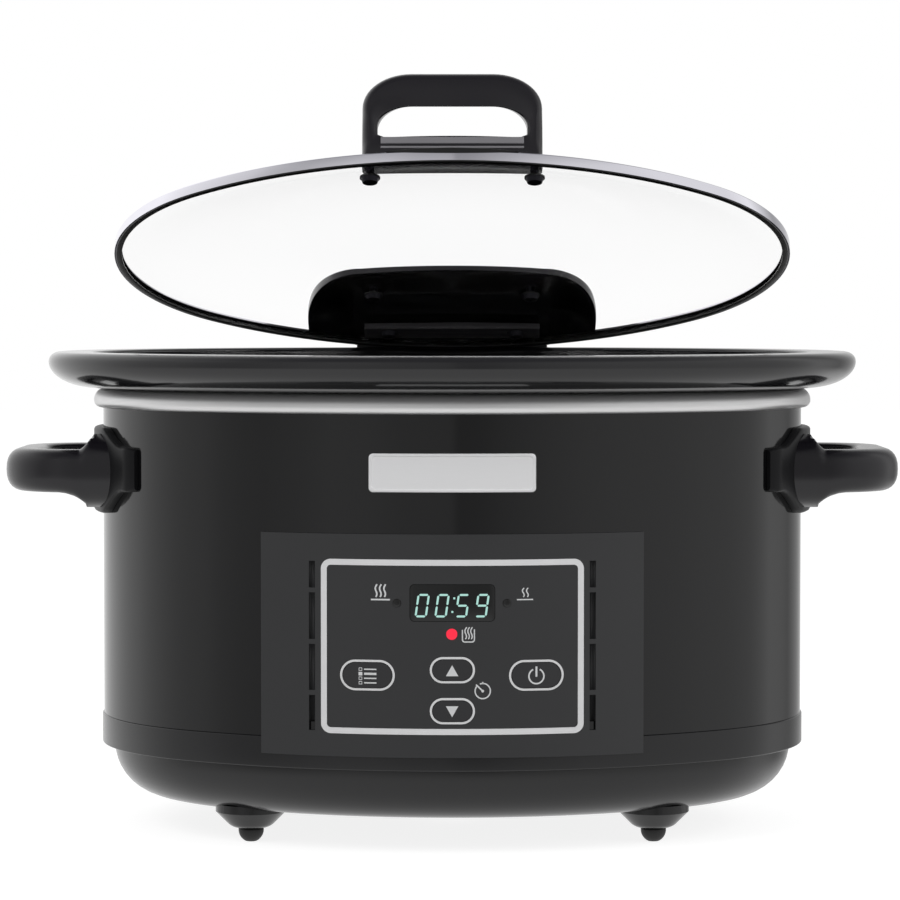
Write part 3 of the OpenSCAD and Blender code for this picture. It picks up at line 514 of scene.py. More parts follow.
def surface_group(name: str, inputs: Sequence[tuple[str, str, object]]) -> tuple[Tree, Node]:
    """Starts a shader node group that gives a surface its colour, roughness and height.

    Args:
        name: the group's name.
        inputs: name, socket type and default of each input but the roughness and its spread.

    Returns:
        The tree and its input node.
    """
    tree = bpy.data.node_groups.new(name, "ShaderNodeTree")
    for label, kind, default in (*inputs, ("Roughness", NUMBER, 0.2), ("Roughness Spread", NUMBER, 0.05)):
        tree.interface.new_socket(name=label, in_out="INPUT", socket_type=kind).default_value = default
    for label, kind in (("Colour", COLOUR), ("Roughness", NUMBER), ("Height", NUMBER)):
        tree.interface.new_socket(name=label, in_out="OUTPUT", socket_type=kind)
    return tree, tree.nodes.new("NodeGroupInput")


def finish_group(tree: Tree, pattern: Socket, colours: Sequence[Socket],
                 height: Socket) -> Tree:
    """Ends a surface group: a pattern mixes its two colours and spreads its roughness.

    Args:
        tree: the group's tree.
        pattern: the pattern, from 0 to 1.
        colours: the two colours that it mixes.
        height: what the bump follows.

    Returns:
        The tree.
    """
    given = next(node for node in tree.nodes if node.bl_idname == "NodeGroupInput").outputs
    mix = add_node(tree, "ShaderNodeMix", {"Factor": pattern, "A": colours[0], "B": colours[1]},
                   data_type="RGBA")
    spread = add_node(tree, "ShaderNodeMath",
                      {0: pattern, 1: given["Roughness Spread"], 2: given["Roughness"]},
                      operation="MULTIPLY_ADD")
    add_node(tree, "NodeGroupOutput", {"Colour": mix.outputs["Result"], "Roughness": spread.outputs["Value"],
                                       "Height": height})
    return tree


def moulded_group() -> Tree:
    """The look of moulded or sprayed surfaces: soft clouds in the tone and the gloss, and a fine grain."""
    name = "moulded surface"
    if name in bpy.data.node_groups:
        return bpy.data.node_groups[name]
    tree, start = surface_group(name, (("Colour", COLOUR, (0.02, 0.02, 0.02, 1.0)),
                                       ("Cloud Colour", COLOUR, (0.03, 0.03, 0.03, 1.0)),
                                       ("Cloud Scale", NUMBER, 30.0), ("Grain Scale", NUMBER, 900.0)))
    place = add_node(tree, "ShaderNodeTexCoord").outputs["Object"]
    cloud, grain = (
        add_node(tree, "ShaderNodeTexNoise",
                 {"Vector": place, "Scale": start.outputs[scale], "Detail": detail})
        for scale, detail in (("Cloud Scale", 4.0), ("Grain Scale", 2.0)))
    return finish_group(tree, cloud.outputs["Fac"], (start.outputs["Colour"], start.outputs["Cloud Colour"]),
                        grain.outputs["Fac"])


def brushed_group() -> Tree:
    """Fine lines along a brushed metal's grain, in its tone and its gloss."""
    name = "brushed lines"
    if name in bpy.data.node_groups:
        return bpy.data.node_groups[name]
    tree, start = surface_group(name, (("Colour", COLOUR, (0.6, 0.6, 0.6, 1.0)),
                                       ("Line Colour", COLOUR, (0.5, 0.5, 0.5, 1.0)),
                                       ("Stretch", VECTOR, (1.0, 1.0, 60.0)), ("Scale", NUMBER, 60.0)))
    place = add_node(tree, "ShaderNodeTexCoord").outputs["Object"]
    stretch = add_node(tree, "ShaderNodeVectorMath", {0: place, 1: start.outputs["Stretch"]},
                       operation="MULTIPLY")
    lines = add_node(tree, "ShaderNodeTexNoise", {"Vector": stretch.outputs["Vector"],
                                                  "Scale": start.outputs["Scale"], "Detail": 6.0})
    return finish_group(tree, lines.outputs["Fac"], (start.outputs["Colour"], start.outputs["Line Colour"]),
                        lines.outputs["Fac"])


@dataclass(frozen=True)
class Finish:
    """What every finish has: its name and the record's slot that it belongs to."""

    name: str
    slot: str

    def material(self) -> bpy.types.Material:
        """The finish's material, made once."""
        if self.name in bpy.data.materials:
            return bpy.data.materials[self.name]
        made = bpy.data.materials.new(self.name)
        made.use_nodes = True
        self.dress(made.node_tree, made.node_tree.nodes["Principled BSDF"])
        return made

    def dress(self, tree: Tree, shader: Node) -> None:
        """Sets the shader; each kind of finish has its own way."""
        raise NotImplementedError


def plug(tree: Tree, shader: Node, group: Tree, values: Sequence[object],
         bump: float = 0.0) -> None:
    """Places a surface group in a material and leads it to the shader.

    Args:
        tree: the material's tree.
        shader: its Principled BSDF.
        group: the surface group.
        values: values of the group's inputs in their order; colours come without alpha.
        bump: strength of the bump.
    """
    node = add_node(tree, "ShaderNodeGroup", node_tree=group)
    for socket, value in zip(node.inputs, values, strict=True):
        socket.default_value = (*value, 1.0) if socket.type == "RGBA" else value
    tree.links.new(node.outputs["Colour"], shader.inputs["Base Color"])
    tree.links.new(node.outputs["Roughness"], shader.inputs["Roughness"])
    if bump > 0:
        raised = add_node(tree, "ShaderNodeBump", {"Strength": bump, "Distance": BUMP_DEPTH,
                                                   "Height": node.outputs["Height"]})
        tree.links.new(raised.outputs["Normal"], shader.inputs["Normal"])


@dataclass(frozen=True)
class Moulded(Finish):
    """Plastic, paint, rubber or glaze."""

    colour: Colour
    cloud: Colour
    roughness: float
    spread: float
    bump: float = 0.0
    cloud_scale: float = 25.0
    grain_scale: float = 1500.0
    coat: float = 0.0
    ior: float = 1.5

    def dress(self, tree: Tree, shader: Node) -> None:
        """Clouds and grain over a plain dielectric."""
        plug(tree, shader, moulded_group(), (self.colour, self.cloud, self.cloud_scale, self.grain_scale,
                                             self.roughness, self.spread), self.bump)
        shader.inputs["IOR"].default_value = self.ior
        shader.inputs["Coat Weight"].default_value = self.coat
        shader.inputs["Coat Roughness"].default_value = 0.03


@dataclass(frozen=True)
class Brushed(Finish):
    """Metal with a grain, or polished metal where the lines are faint."""

    colour: Colour
    line: Colour
    roughness: float
    spread: float
    scale: float = 60.0
    stretch: Point3 = (1.0, 1.0, 60.0)
    metal: float = 1.0

    def dress(self, tree: Tree, shader: Node) -> None:
        """Lines over a plain metal."""
        plug(tree, shader, brushed_group(), (self.colour, self.line, self.stretch, self.scale,
                                             self.roughness, self.spread))
        shader.inputs["Metallic"].default_value = self.metal


@dataclass(frozen=True)
class ClearGlass(Finish):
    """Polished clear glass."""

    tint: Colour = (1.0, 1.0, 1.0)

    def dress(self, tree: Tree, shader: Node) -> None:
        """Nearly smooth glass whose gloss changes a little."""
        plug(tree, shader, moulded_group(), (self.tint, self.tint, 12.0, 100.0, 0.0, 0.001))
        shader.inputs["Transmission Weight"].default_value = 1.0
        shader.inputs["IOR"].default_value = 1.07


@dataclass(frozen=True)
class Lit(Finish):
    """A lit segment or lamp."""

    colour: Colour
    strength: float
    base: Colour = (0.02, 0.03, 0.03)

    def dress(self, tree: Tree, shader: Node) -> None:
        """Dark lens with its own light."""
        plug(tree, shader, moulded_group(), (self.base, self.base, 200.0, 900.0, 0.3, 0.1))
        shader.inputs["Emission Color"].default_value = (*self.colour, 1.0)
        shader.inputs["Emission Strength"].default_value = self.strength


# Name, slot, the two colours that the pattern mixes, roughness and its spread; then a moulded finish's bump
# or a brushed one's scale, and what else is special
HOUSING = Moulded(
    "gloss housing paint", "housing_paint", (0.0035, 0.0035, 0.004), (0.005, 0.005, 0.0055), 0.07, 0.03)
BLACK = Moulded(
    "gloss black plastic", "black_plastic", (0.006, 0.006, 0.007), (0.009, 0.009, 0.01), 0.16, 0.06, 0.03)
GRIP = Moulded(
    "gloss grip plastic", "handle_plastic", (0.007, 0.006, 0.009), (0.01, 0.009, 0.012), 0.18, 0.06, 0.03)
PLATE = Moulded(
    "satin grip plate", "handle_plastic", (0.006, 0.006, 0.007), (0.009, 0.009, 0.01), 0.35, 0.06, 0.03,
    ior=1.25)
# The foot face below is the black handle plastic painted pale grey: a painted reflection of the bright
# surroundings on the lid handle's foot.
FOOT = Moulded(
    "satin foot face", "handle_plastic", (0.19, 0.185, 0.2), (0.23, 0.225, 0.24), 0.35, 0.06, 0.03)
RUBBER = Moulded("black rubber", "rubber", (0.006, 0.006, 0.006), (0.009, 0.009, 0.009), 0.45, 0.2, 0.15)
GASKET = Moulded("black gasket", "rubber", (0.003, 0.003, 0.003), (0.005, 0.005, 0.005), 0.3, 0.1, 0.05)
GLAZE = Moulded(
    "black glaze", "glazed_stoneware", (0.007, 0.007, 0.008), (0.012, 0.012, 0.014), 0.1, 0.08, 0.05,
    cloud_scale=18.0, grain_scale=300.0, coat=0.2)
PANEL = Moulded(
    "satin panel plastic", "panel_plastic", (0.026, 0.0265, 0.028), (0.032, 0.0325, 0.034), 0.38, 0.1, 0.08,
    grain_scale=2500.0)
KEYCAP = Moulded(
    "satin button plastic", "panel_plastic", (0.022, 0.022, 0.024), (0.028, 0.028, 0.03), 0.35, 0.1, 0.06,
    grain_scale=2500.0)
WINDOW = Moulded(
    "dark display lens", "display_lens", (0.0025, 0.003, 0.003), (0.004, 0.0045, 0.0045), 0.2, 0.05)
DARK_LAMP = Moulded("dark lamp lens", "led_lens", (0.004, 0.004, 0.004), (0.008, 0.008, 0.008), 0.2, 0.05)
PRINT = Moulded(
    "white print", "silver_line", (0.78, 0.79, 0.8), (0.86, 0.87, 0.88), 0.5, 0.1, cloud_scale=300.0)
SILVER_LINE = Moulded(
    "silver inlay", "silver_line", (0.86, 0.86, 0.87), (0.95, 0.95, 0.96), 0.35, 0.1, cloud_scale=150.0)
BOARD = Moulded(
    "green board", "circuit_board", (0.02, 0.1, 0.04), (0.03, 0.14, 0.06), 0.35, 0.15, cloud_scale=120.0)
BLANKET = Moulded(
    "pale insulation", "insulation", (0.6, 0.58, 0.52), (0.72, 0.7, 0.64), 0.9, 0.1, 0.6, cloud_scale=200.0,
    grain_scale=600.0)
DARK_PART = Moulded(
    "dark switch plastic", "switch_plastic", (0.02, 0.02, 0.02), (0.03, 0.03, 0.03), 0.5, 0.1)
DISPLAY_BODY = Moulded(
    "display body plastic", "display_body", (0.02, 0.025, 0.025), (0.03, 0.035, 0.035), 0.5, 0.1)
CLAMP = Moulded(
    "grey clamp plastic", "clamp_grey", (0.045, 0.043, 0.048), (0.06, 0.058, 0.062), 0.4, 0.1, 0.1)
RIM_STEEL = Brushed(
    "brushed rim steel", "brushed_steel", (0.92, 0.92, 0.92), (0.78, 0.78, 0.78), 0.3, 0.16, 90.0,
    (1.0, 1.0, 40.0), metal=0.75)
WELL_METAL = Brushed(
    "spun well aluminium", "well_aluminium", (0.62, 0.62, 0.63), (0.5, 0.5, 0.51), 0.3, 0.15)
HEATER_METAL = Brushed("heater band metal", "heater_metal", (0.42, 0.37, 0.28), (0.3, 0.27, 0.2), 0.4, 0.15)
SCREW_STEEL = Brushed(
    "zinc plated screw", "fastener_steel", (0.55, 0.55, 0.57), (0.42, 0.42, 0.44), 0.25, 0.15, 200.0)
DARK_SCREW = Brushed(
    "blackened screw", "fastener_steel", (0.035, 0.034, 0.04), (0.02, 0.02, 0.024), 0.35, 0.15, 200.0)
BADGE_METAL = Brushed(
    "brushed badge metal", "badge_metal", (0.99, 0.99, 1.0), (0.93, 0.93, 0.94), 0.3, 0.18, 120.0,
    (1.0, 1.0, 50.0), metal=0.12)
CHROME = Brushed(
    "polished lid band", "chrome", (0.9, 0.89, 0.96), (0.86, 0.85, 0.92), 0.06, 0.03,
    stretch=(1.0, 1.0, 10.0))
GLASS = ClearGlass("clear lid glass", "clear_glass")
DIGIT = Lit("lit digits", "display_lens", (0.55, 0.95, 0.85), 0.75)
RED_LAMP = Lit("lit red lamp", "led_lens", (1.0, 0.02, 0.06), 0.8, (0.3, 0.01, 0.02))


def keep(node: str, finish: Finish) -> None:
    """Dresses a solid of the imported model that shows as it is.

    Args:
        node: the solid's name.
        finish: its finish.
    """
    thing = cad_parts[node]
    thing.data.materials.clear()
    thing.data.materials.append(finish.material())
    log.info("%s kept: %s", node, finish.slot)


def softened(node: str, body: str, finish: Finish, edge: float = 0.0, on_wall: Sequence[float] = ()) -> None:
    """Makes a joined copy of a solid that stands for it, with rounded edges where it has them.

    Args:
        node: the solid's name.
        body: the body that it rides on.
        finish: its finish.
        edge: radius of its edges in millimetres, or 0.
        on_wall: parallels g of the front wall on which its faces shade as true curves.
    """
    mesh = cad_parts[node].data.copy()
    mesh.name = node + "_fine"
    cleaned(mesh, SAME_POINT_CAD, flat=edge > 0)
    thing = placed(mesh.name, mesh)
    if edge:
        bevel = thing.modifiers.new("edges", "BEVEL")
        bevel.width = edge * MM
        bevel.segments = 3
        bevel.limit_method = "ANGLE"
        bevel.angle_limit = math.radians(40)
        settled(thing)
    shaded(thing.data, 28)
    if on_wall:
        curve_normals(thing.data, on_wall)
    hand_over(thing, body, finish, (node,))


def curve_normals(mesh: bpy.types.Mesh, parallels: Sequence[float]) -> None:
    """Gives the faces that lie on parallels of the front wall the wall's true normals.

    Args:
        mesh: the mesh, in metres.
        parallels: the g of each parallel.
    """
    normals = [Vector(n.vector) for n in mesh.corner_normals]
    for face in mesh.polygons:
        places = [mesh.vertices[mesh.loops[i].vertex_index].co / MM for i in face.loop_indices]
        spots = [OVAL.g_at(p.x, p.y + CENTRE_Y) for p in places]
        if not any(all(abs(g - level) < 0.05 for g in spots) for level in parallels):
            continue
        for i, p in zip(face.loop_indices, places):
            radial = Vector((p.x, p.y + CENTRE_Y - OVAL.side_y, 0.0)).normalized()
            if abs(radial.dot(face.normal)) > 0.9:
                normals[i] = radial if radial.dot(face.normal) > 0 else -radial
    mesh.normals_split_custom_set([tuple(n) for n in normals])


# ---------------------------------------------------------------- housing


@dataclass
class Housing:
    """The painted wall, the plastic band and the pan under it, and its feet."""

    wall_t: float = 1.2
    open_x: float = 68.5
    open_low: float = 57.6
    open_top: float = 131.3
    badge_w: float = 70.0
    badge_h: float = 16.2
    badge_z: float = 162.7
    badge_face: float = 1.2
    roll_r: float = 5.8
    lip_r: float = 3.0
    steel_t: float = 1.4

    def wall(self) -> None:
        """The steel wall, open behind the control panel."""
        edge = math.degrees(math.acos(self.open_x / OVAL.side_r))
        marks = (180 + edge, 360 - edge)
        stations = [t for t in OVAL.stations() if min(abs(t - mark) for mark in marks) > 0.4]
        stations = sorted(stations + list(marks), key=lambda t: t % 360)
        levels = [Z_WALL, self.open_low, self.open_top, Z_RING]
        count, high = len(stations), len(levels)

        def place(turn: float, g: float) -> Point2:
            """The wall's plan point; the opening's sides run straight through it."""
            if turn in marks:
                x = -self.open_x if turn < 270 else self.open_x
                return x, OVAL.front_y(x, g)
            return OVAL.at(turn, g)

        def spot(i: int, side: int, j: int) -> int:
            """Index of the point of a station and level on the outer side (0) or the inner one (1)."""
            return ((i % count) * 2 + side) * high + j

        points = [(*place(t, g), z) for t in stations for g in (0.0, -self.wall_t) for z in levels]
        present = [[not (j == 1 and marks[0] <= t < marks[1]) for j in range(high - 1)] for t in stations]
        faces: list[tuple[int, ...]] = []
        for i in range(count):
            for j in range(high - 1):
                if present[i][j]:
                    for side in (0, 1):
                        faces.append((spot(i, side, j), spot(i + 1, side, j),
                                      spot(i + 1, side, j + 1), spot(i, side, j + 1)))
                if present[i][j] != present[i - 1][j]:
                    faces.append((spot(i, 0, j), spot(i, 1, j), spot(i, 1, j + 1), spot(i, 0, j + 1)))
            for j in range(high):
                below = j > 0 and present[i][j - 1]
                above = j < high - 1 and present[i][j]
                if below != above:
                    faces.append((spot(i, 0, j), spot(i + 1, 0, j), spot(i + 1, 1, j), spot(i, 1, j)))
        Shape().add(points, faces).build("housing_wall", Body.BASE, HOUSING, ["outer_housing"])

    def band(self) -> None:
        """The plastic band round the wall's foot."""
        lip, ledge = Z_WALL + 5, Z_BAND + 2.2
        profile = filleted([(-0.3, Z_BAND, 0), (0.7, Z_BAND + 0.4, 0.5), (0.7, Z_WALL - 0.4, 0.5),
                            (-0.3, Z_WALL, 0), (-1.3, Z_WALL, 0), (-1.3, lip, 0), (-2.9, lip, 0),
                            (-2.9, ledge, 0), (-8.5, ledge, 0), (-8.5, Z_BAND, 0)])
        swept(profile).build("foot_band", Body.BASE, BLACK, ["lower_band"])

    def pan(self) -> None:
        """The rounded pan with its vents, and the feet under it."""
        softened("base_pan", Body.BASE, BLACK)
        softened("feet", Body.BASE, BLACK)
        softened("foot_pads", Body.BASE, RUBBER)
        softened("stud_nut", Body.BASE, SCREW_STEEL, edge=0.3)

    def rim(self) -> None:
        """The rolled steel rim on top of the wall."""
        bend = Z_RING + self.lip_r
        roll, lip, t = self.roll_r, self.lip_r, self.steel_t
        profile = [(-9, Z_RIM)] + arc(-1.7, bend, roll, 90, 0) + arc(1.1, bend, lip, -9, -90)
        profile += [(-1.8, Z_RING), (-1.8, Z_RING + t)] + arc(1.1, bend, lip - t, -90, -9)
        profile += arc(-1.7, bend, roll - t, 0, 90) + [(-9, Z_RIM - t)]
        swept(profile).build("rolled_rim", Body.BASE, RIM_STEEL, ["steel_rim"])

    def badge(self) -> None:
        """The bare metal badge with its raised frame line."""
        face = self.badge_face
        outline = plate_outline(self.badge_w, self.badge_h, 1.8, self.badge_z)
        levels = [(0.0, 0.1), (0.0, face - 0.3), (0.3, face), (1.0, face), (1.3, face - 0.3)]
        front_plate(outline, levels).build("badge_bare", Body.BASE, BADGE_METAL, ["badge_plate"])

    def insides(self) -> None:
        """The heating well and what lies between it and the wall."""
        softened("heating_well", Body.BASE, WELL_METAL)
        softened("heater_band", Body.BASE, HEATER_METAL)
        softened("insulation", Body.BASE, BLANKET)
        softened("centre_stud", Body.BASE, SCREW_STEEL)
        softened("power_board", Body.BASE, BOARD)
        softened("cord_gland", Body.BASE, RUBBER, edge=0.3)

    def build(self) -> None:
        """Builds the housing."""
        self.wall()
        self.band()
        self.pan()
        self.rim()
        self.badge()
        self.insides()


@dataclass
class SideHandle:
    """A loop handle with its flared feet and mounting plate.

    The side is +1 for the right and -1 for the left. The section's outer and inner half are superellipses
    with the powers of `rounding`. `flare` says where a leg's upper face starts to rise to the plate, and over
    which length. Its underside runs from the plate's height down the short slope of `toe` into an arc of
    `under_r` about `under_x`. Away from the middle the legs grow lower, as `narrowing` says: from which
    distance, over which length, and to which half height.
    """

    side: int
    mid_z: float = 159.8
    bar_x: float = 190.3
    leg_y: float = 39.5
    wall_x: float = 148.0
    corner_r: float = 24.0
    half_t: float = 8.0
    leg_half_t: float = 7.5
    half_h: float = 9.5
    rounding: Point2 = (2.4, 5.0)
    plate_t: float = 4.1
    plate_half: float = 62.0
    plate_h: float = 18.8
    plate_end_h: float = 9.6
    plate_taper: Point2 = (36.0, 52.5)
    plate_end_lift: float = 1.3
    plate_edge: float = 1.2
    flare: Point2 = (163.5, 7.5)
    under_x: float = 173.3
    under_r: float = 18.0
    toe: Point2 = (160.4, 161.3)
    toe_drop: float = 4.72
    narrowing: Point3 = (30.0, 17.0, 10.8)

    def path(self) -> list[tuple[Point2, Point2]]:
        """Places and outward directions along the loop, from one leg to the other."""
        straight, end_y = self.bar_x - self.corner_r, self.leg_y - self.corner_r
        leg = [((self.wall_x + (straight - self.wall_x) * i / 30, -self.leg_y), (0.0, -1.0))
               for i in range(30)]
        for i in range(13):
            turn = math.radians(-90 + 90 * i / 12)
            c, s = math.cos(turn), math.sin(turn)
            leg.append(((straight + self.corner_r * c, -end_y + self.corner_r * s), (c, s)))
        bar = [((self.bar_x, -end_y + 2 * end_y * i / 8), (1.0, 0.0)) for i in range(1, 8)]
        return leg + bar + [((x, -y), (nx, -ny)) for (x, y), (nx, ny) in reversed(leg)]

    def limit(self, y: float) -> float:
        """The most that the loop reaches over or under its middle at the given y."""
        start, run, end_h = self.narrowing
        away = max(0.0, abs(y) - start)
        return max(self.plate_h - away * (self.plate_h - end_h) / run, self.half_h)

    def above(self, x: float, y: float) -> float:
        """How far the loop's upper face lies over its middle."""
        start, run = self.flare
        rise = self.half_h + (self.plate_h - self.half_h) * max(0.0, min(1.0, (start - x) / run)) ** 1.4
        return min(rise, self.limit(y))

    def below(self, x: float, y: float) -> float:
        """How far the loop's lower face lies under its middle."""
        drop = self.half_h
        if x <= self.toe[1]:
            drop = self.plate_h - self.toe_drop * max(0.0, x - self.toe[0]) / (self.toe[1] - self.toe[0])
        elif x < self.under_x:
            drop = self.half_h + self.under_r - math.sqrt(self.under_r ** 2 - (self.under_x - x) ** 2)
        return min(drop, self.limit(y))

    def loop(self) -> Shape:
        """The handle's loop, lofted along its path."""
        rows = []
        ring = 28
        straight = self.bar_x - self.corner_r
        for (x, y), (nx, ny) in self.path():
            half = self.leg_half_t + (self.half_t - self.leg_half_t) * abs(nx)
            row = []
            for k in range(ring):
                turn = 2 * math.pi * k / ring
                c, s = math.cos(turn), math.sin(turn)
                power = 2 / self.rounding[0 if c > 0 else 1]
                across = half * math.copysign(abs(c) ** power, c)
                px, py = x + nx * across, y + ny * across
                if abs(ny) == 1.0:
                    # The leg starts on the housing's wall
                    wall = OVAL.end_x + math.sqrt(OVAL.end_r ** 2 - py * py) + 0.15
                    px = wall + (straight - wall) * (px - self.wall_x) / (straight - self.wall_x)
                tall = self.above(px, py) if s > 0 else self.below(px, py)
                row.append((px, py, self.mid_z + tall * math.copysign(abs(s) ** power, s)))
            rows.append(row)
        return Shape().grid(rows, False, True, caps=True)

    def plate(self) -> Shape:
        """The plate that follows the housing's end and carries the loop."""
        rows = []
        count = 44
        edge, end_run = self.plate_edge, 3.0
        low, high = self.plate_taper
        for i in range(count + 1):
            y = -self.plate_half + 2 * self.plate_half * i / count
            t = max(0.0, min(1.0, (abs(y) - low) / (high - low)))
            end = max(0.0, abs(y) - (self.plate_half - end_run)) / end_run
            thick = self.plate_t * (1 - 0.55 * end * end)
            tall = self.plate_h + (self.plate_end_h - self.plate_h) * t - 0.8 * end * end
            chamfer = 0.35 * edge
            upper = [(thick, tall - edge), (thick - chamfer, tall - chamfer),
                     (thick - edge, tall), (0.1, tall)]
            section = [(g, -z) for g, z in reversed(upper)] + upper
            turn = math.degrees(math.asin(y / (OVAL.end_r + 2)))
            middle = self.mid_z + self.plate_end_lift * t
            rows.append([(*OVAL.at(turn, g), middle + z) for g, z in section])
        return Shape().grid(rows, False, True, caps=True)

    def build(self) -> None:
        """Builds the handle."""
        word = "right" if self.side > 0 else "left"
        for part, shape, finish in (("loop", self.loop(), GRIP), ("plate", self.plate(), PLATE)):
            shape.moved(lambda p: (self.side * p[0], p[1], p[2]))
            shape.build(f"grip_{part}_{word}", Body.BASE, finish, [f"side_handle_{word}"])


# ---------------------------------------------------------------- control panel


class Icon(Enum):
    """Generic signs printed on the panel and its buttons."""

    HIGH_HEAT = "high_heat"
    LOW_HEAT = "low_heat"
    KEEP_WARM = "keep_warm"
    TIMER = "timer"
    LIST = "list"
    POWER = "power"
    UP = "up"
    DOWN = "down"


# Where each sign is in x and z, the signs that are on a button, and the segments of each figure
SIGN_AT = {Icon.HIGH_HEAT: (-30.1, 109.7), Icon.LOW_HEAT: (30.4, 109.7), Icon.KEEP_WARM: (6.7, 93.1),
           Icon.TIMER: (12.7, 71.5), Icon.LIST: (-38.5, 80.4), Icon.POWER: (35.2, 77.5),
           Icon.UP: (-0.1, 80.1), Icon.DOWN: (-0.1, 62.9)}
BUTTONS = {Icon.LIST: "menu_button", Icon.POWER: "power_button",
           Icon.UP: "up_button", Icon.DOWN: "down_button"}
SEGMENTS = {"0": "abcdef", "5": "acdfg", "9": "abcdfg"}


@dataclass
class ControlPanel:
    """The panel on the front with its buttons, rings, lamps, display and signs."""

    face: float = 1.3
    key_face: float = 1.7
    ring_face: float = 1.45
    window_face: float = 1.2
    ink: float = 0.05
    digit_h: float = 9.0
    digit_w: float = 4.3
    slant: float = 0.14
    digit_x: tuple[float, ...] = (-12.6, -4.3, 4.2, 12.4)
    digit_z: float = 107.3

    def wave(self, x: float, low: float, high: float, wide: float, lean: float) -> Shape:
        """A rising heat wave as a line."""
        steps = [i / 12 for i in range(13)]
        path = [(x + lean * (t - 0.5) + 0.45 * math.sin(2 * math.pi * (t + 0.05)), low + (high - low) * t)
                for t in steps]
        return line_on_front(path, wide, self.face, self.face + self.ink)

    def sign(self, icon: Icon) -> Shape:
        """The shape of one printed sign."""
        face = self.key_face if icon in BUTTONS else self.face
        line = partial(line_on_front, low=face, high=face + self.ink)
        patch = partial(patch_on_front, low=face, high=face + self.ink)
        x, z = SIGN_AT[icon]
        if icon is Icon.HIGH_HEAT:
            waves = [self.wave(x + dx, z + 1.1, z + 6.4, 0.66, 0.5) for dx in (-1.8, 0.0, 1.8)]
            return together(waves + [line([(x - 4.0, z), (x + 4.0, z)], 0.65)])
        if icon is Icon.LOW_HEAT:
            waves = [self.wave(x + dx, z + 1.1, z + 4.9, 0.5, 0.3) for dx in (-0.7, 1.0)]
            return together(waves + [line([(x - 3.4, z), (x + 3.4, z)], 0.5)])
        if icon is Icon.KEEP_WARM:
            pot = [(x - 2.5, z + 4.1), (x - 2.5, z + 0.3)] + arc(x - 1.5, z, 1.0, 180, 270, 5)
            pot += arc(x + 1.5, z, 1.0, 270, 360, 5) + [(x + 2.5, z + 0.3), (x + 2.5, z + 4.3)]
            waves = [self.wave(x + dx, z + 0.2, z + 5.2, 0.5, 0.5) for dx in (-1.1, 0.1, 1.3)]
            return together(waves + [line(pot, 0.5)])
        if icon is Icon.TIMER:
            ring = line(arc(x, z, 3.2, 112, -218, 30), 0.55)
            hand = line([(x - 2.8, z + 2.7), (x, z)], 0.6)
            tick = line([(x, z + 3.8), (x, z + 2.9)], 0.6)
            return together([ring, hand, tick, patch(arc(x, z, 0.6, 0, 324, 9))])
        if icon is Icon.LIST:
            marks = []
            for i in range(4):
                row, chosen = z - 1.9 * i, i == 1
                if chosen:
                    marks.append(patch(box_outline(x, row, 0.8, 0.75)))
                else:
                    marks.append(line(box_outline(x, row, 0.6, 0.55), 0.35, closed=True))
                marks.append(line([(x + 1.5, row), (x + 6.7, row)], 0.95 if chosen else 0.55))
            return together(marks)
        if icon is Icon.POWER:
            ring = line(arc(x, z, 3.15, 116, 424, 30), 0.65)
            return together([ring, line([(x, z - 0.2), (x, z + 4.1)], 0.8)])
        point = 2.3 if icon is Icon.UP else -2.3
        return patch([(x - 2.6, z - point), (x + 2.6, z - point), (x, z + point)])

    def digit(self, figure: str, cx: float) -> list[Shape]:
        """The lit segments of one figure."""
        w, h, t, gap = self.digit_w / 2, self.digit_h / 2, 0.42, 0.22
        run = {"a": ((-w, h), (w, h)), "b": ((w, h), (w, 0)), "c": ((w, 0), (w, -h)),
               "d": ((-w, -h), (w, -h)), "e": ((-w, 0), (-w, -h)), "f": ((-w, h), (-w, 0)),
               "g": ((-w, 0), (w, 0))}
        bars = []
        for name in SEGMENTS[figure]:
            a, b = (Vector(end) for end in run[name])
            along = (b - a).normalized()
            across = Vector((-along.y, along.x)) * t
            a, b = a + along * gap, b - along * gap
            corners = [a, a + along * t + across, b - along * t + across,
                       b, b - along * t - across, a + along * t - across]
            outline = [(cx + p.x + self.slant * p.y, self.digit_z + p.y) for p in corners]
            bars.append(patch_on_front(outline, self.window_face, self.window_face + self.ink))
        return bars

    def display(self) -> None:
        """The dark window and its lit figures."""
        lens = front_plate(plate_outline(35.6, 15.5, 1.9, 108.4),
                           [(0.0, 0.05), (0.0, 0.9), (0.1, 1.12), (0.3, self.window_face)])
        lens.build("window_lens", Body.BASE, WINDOW, ["display_window"])
        bars = [bar for figure, x in zip("0059", self.digit_x) for bar in self.digit(figure, x)]
        for z in (-2.6, 3.1):
            dot = box_outline(0.35 + self.slant * z, self.digit_z + z, 0.4, 0.4)
            bars.append(patch_on_front(dot, self.window_face, self.window_face + self.ink))
        together(bars).build("lit_figures", Body.BASE, DIGIT)
        keep("display_module", DISPLAY_BODY)

    def lamp(self, name: str, x: float, z: float, r: float, finish: Finish) -> None:
        """A round lamp lens with a domed face."""
        domed = [math.radians(a) for a in (0, 20, 40, 60, 75, 90)]
        profile = [(0.0, -8.0), (r, -8.0)] + [(r * math.cos(a), 0.3 * math.sin(a) + self.face) for a in domed]
        y = OVAL.front_y(x, 0)
        shape = turned(profile, 28).moved(lambda p: (x + p[0], y - p[2], z + p[1]))
        shape.build(name, Body.BASE, finish, ["indicator_leds"])

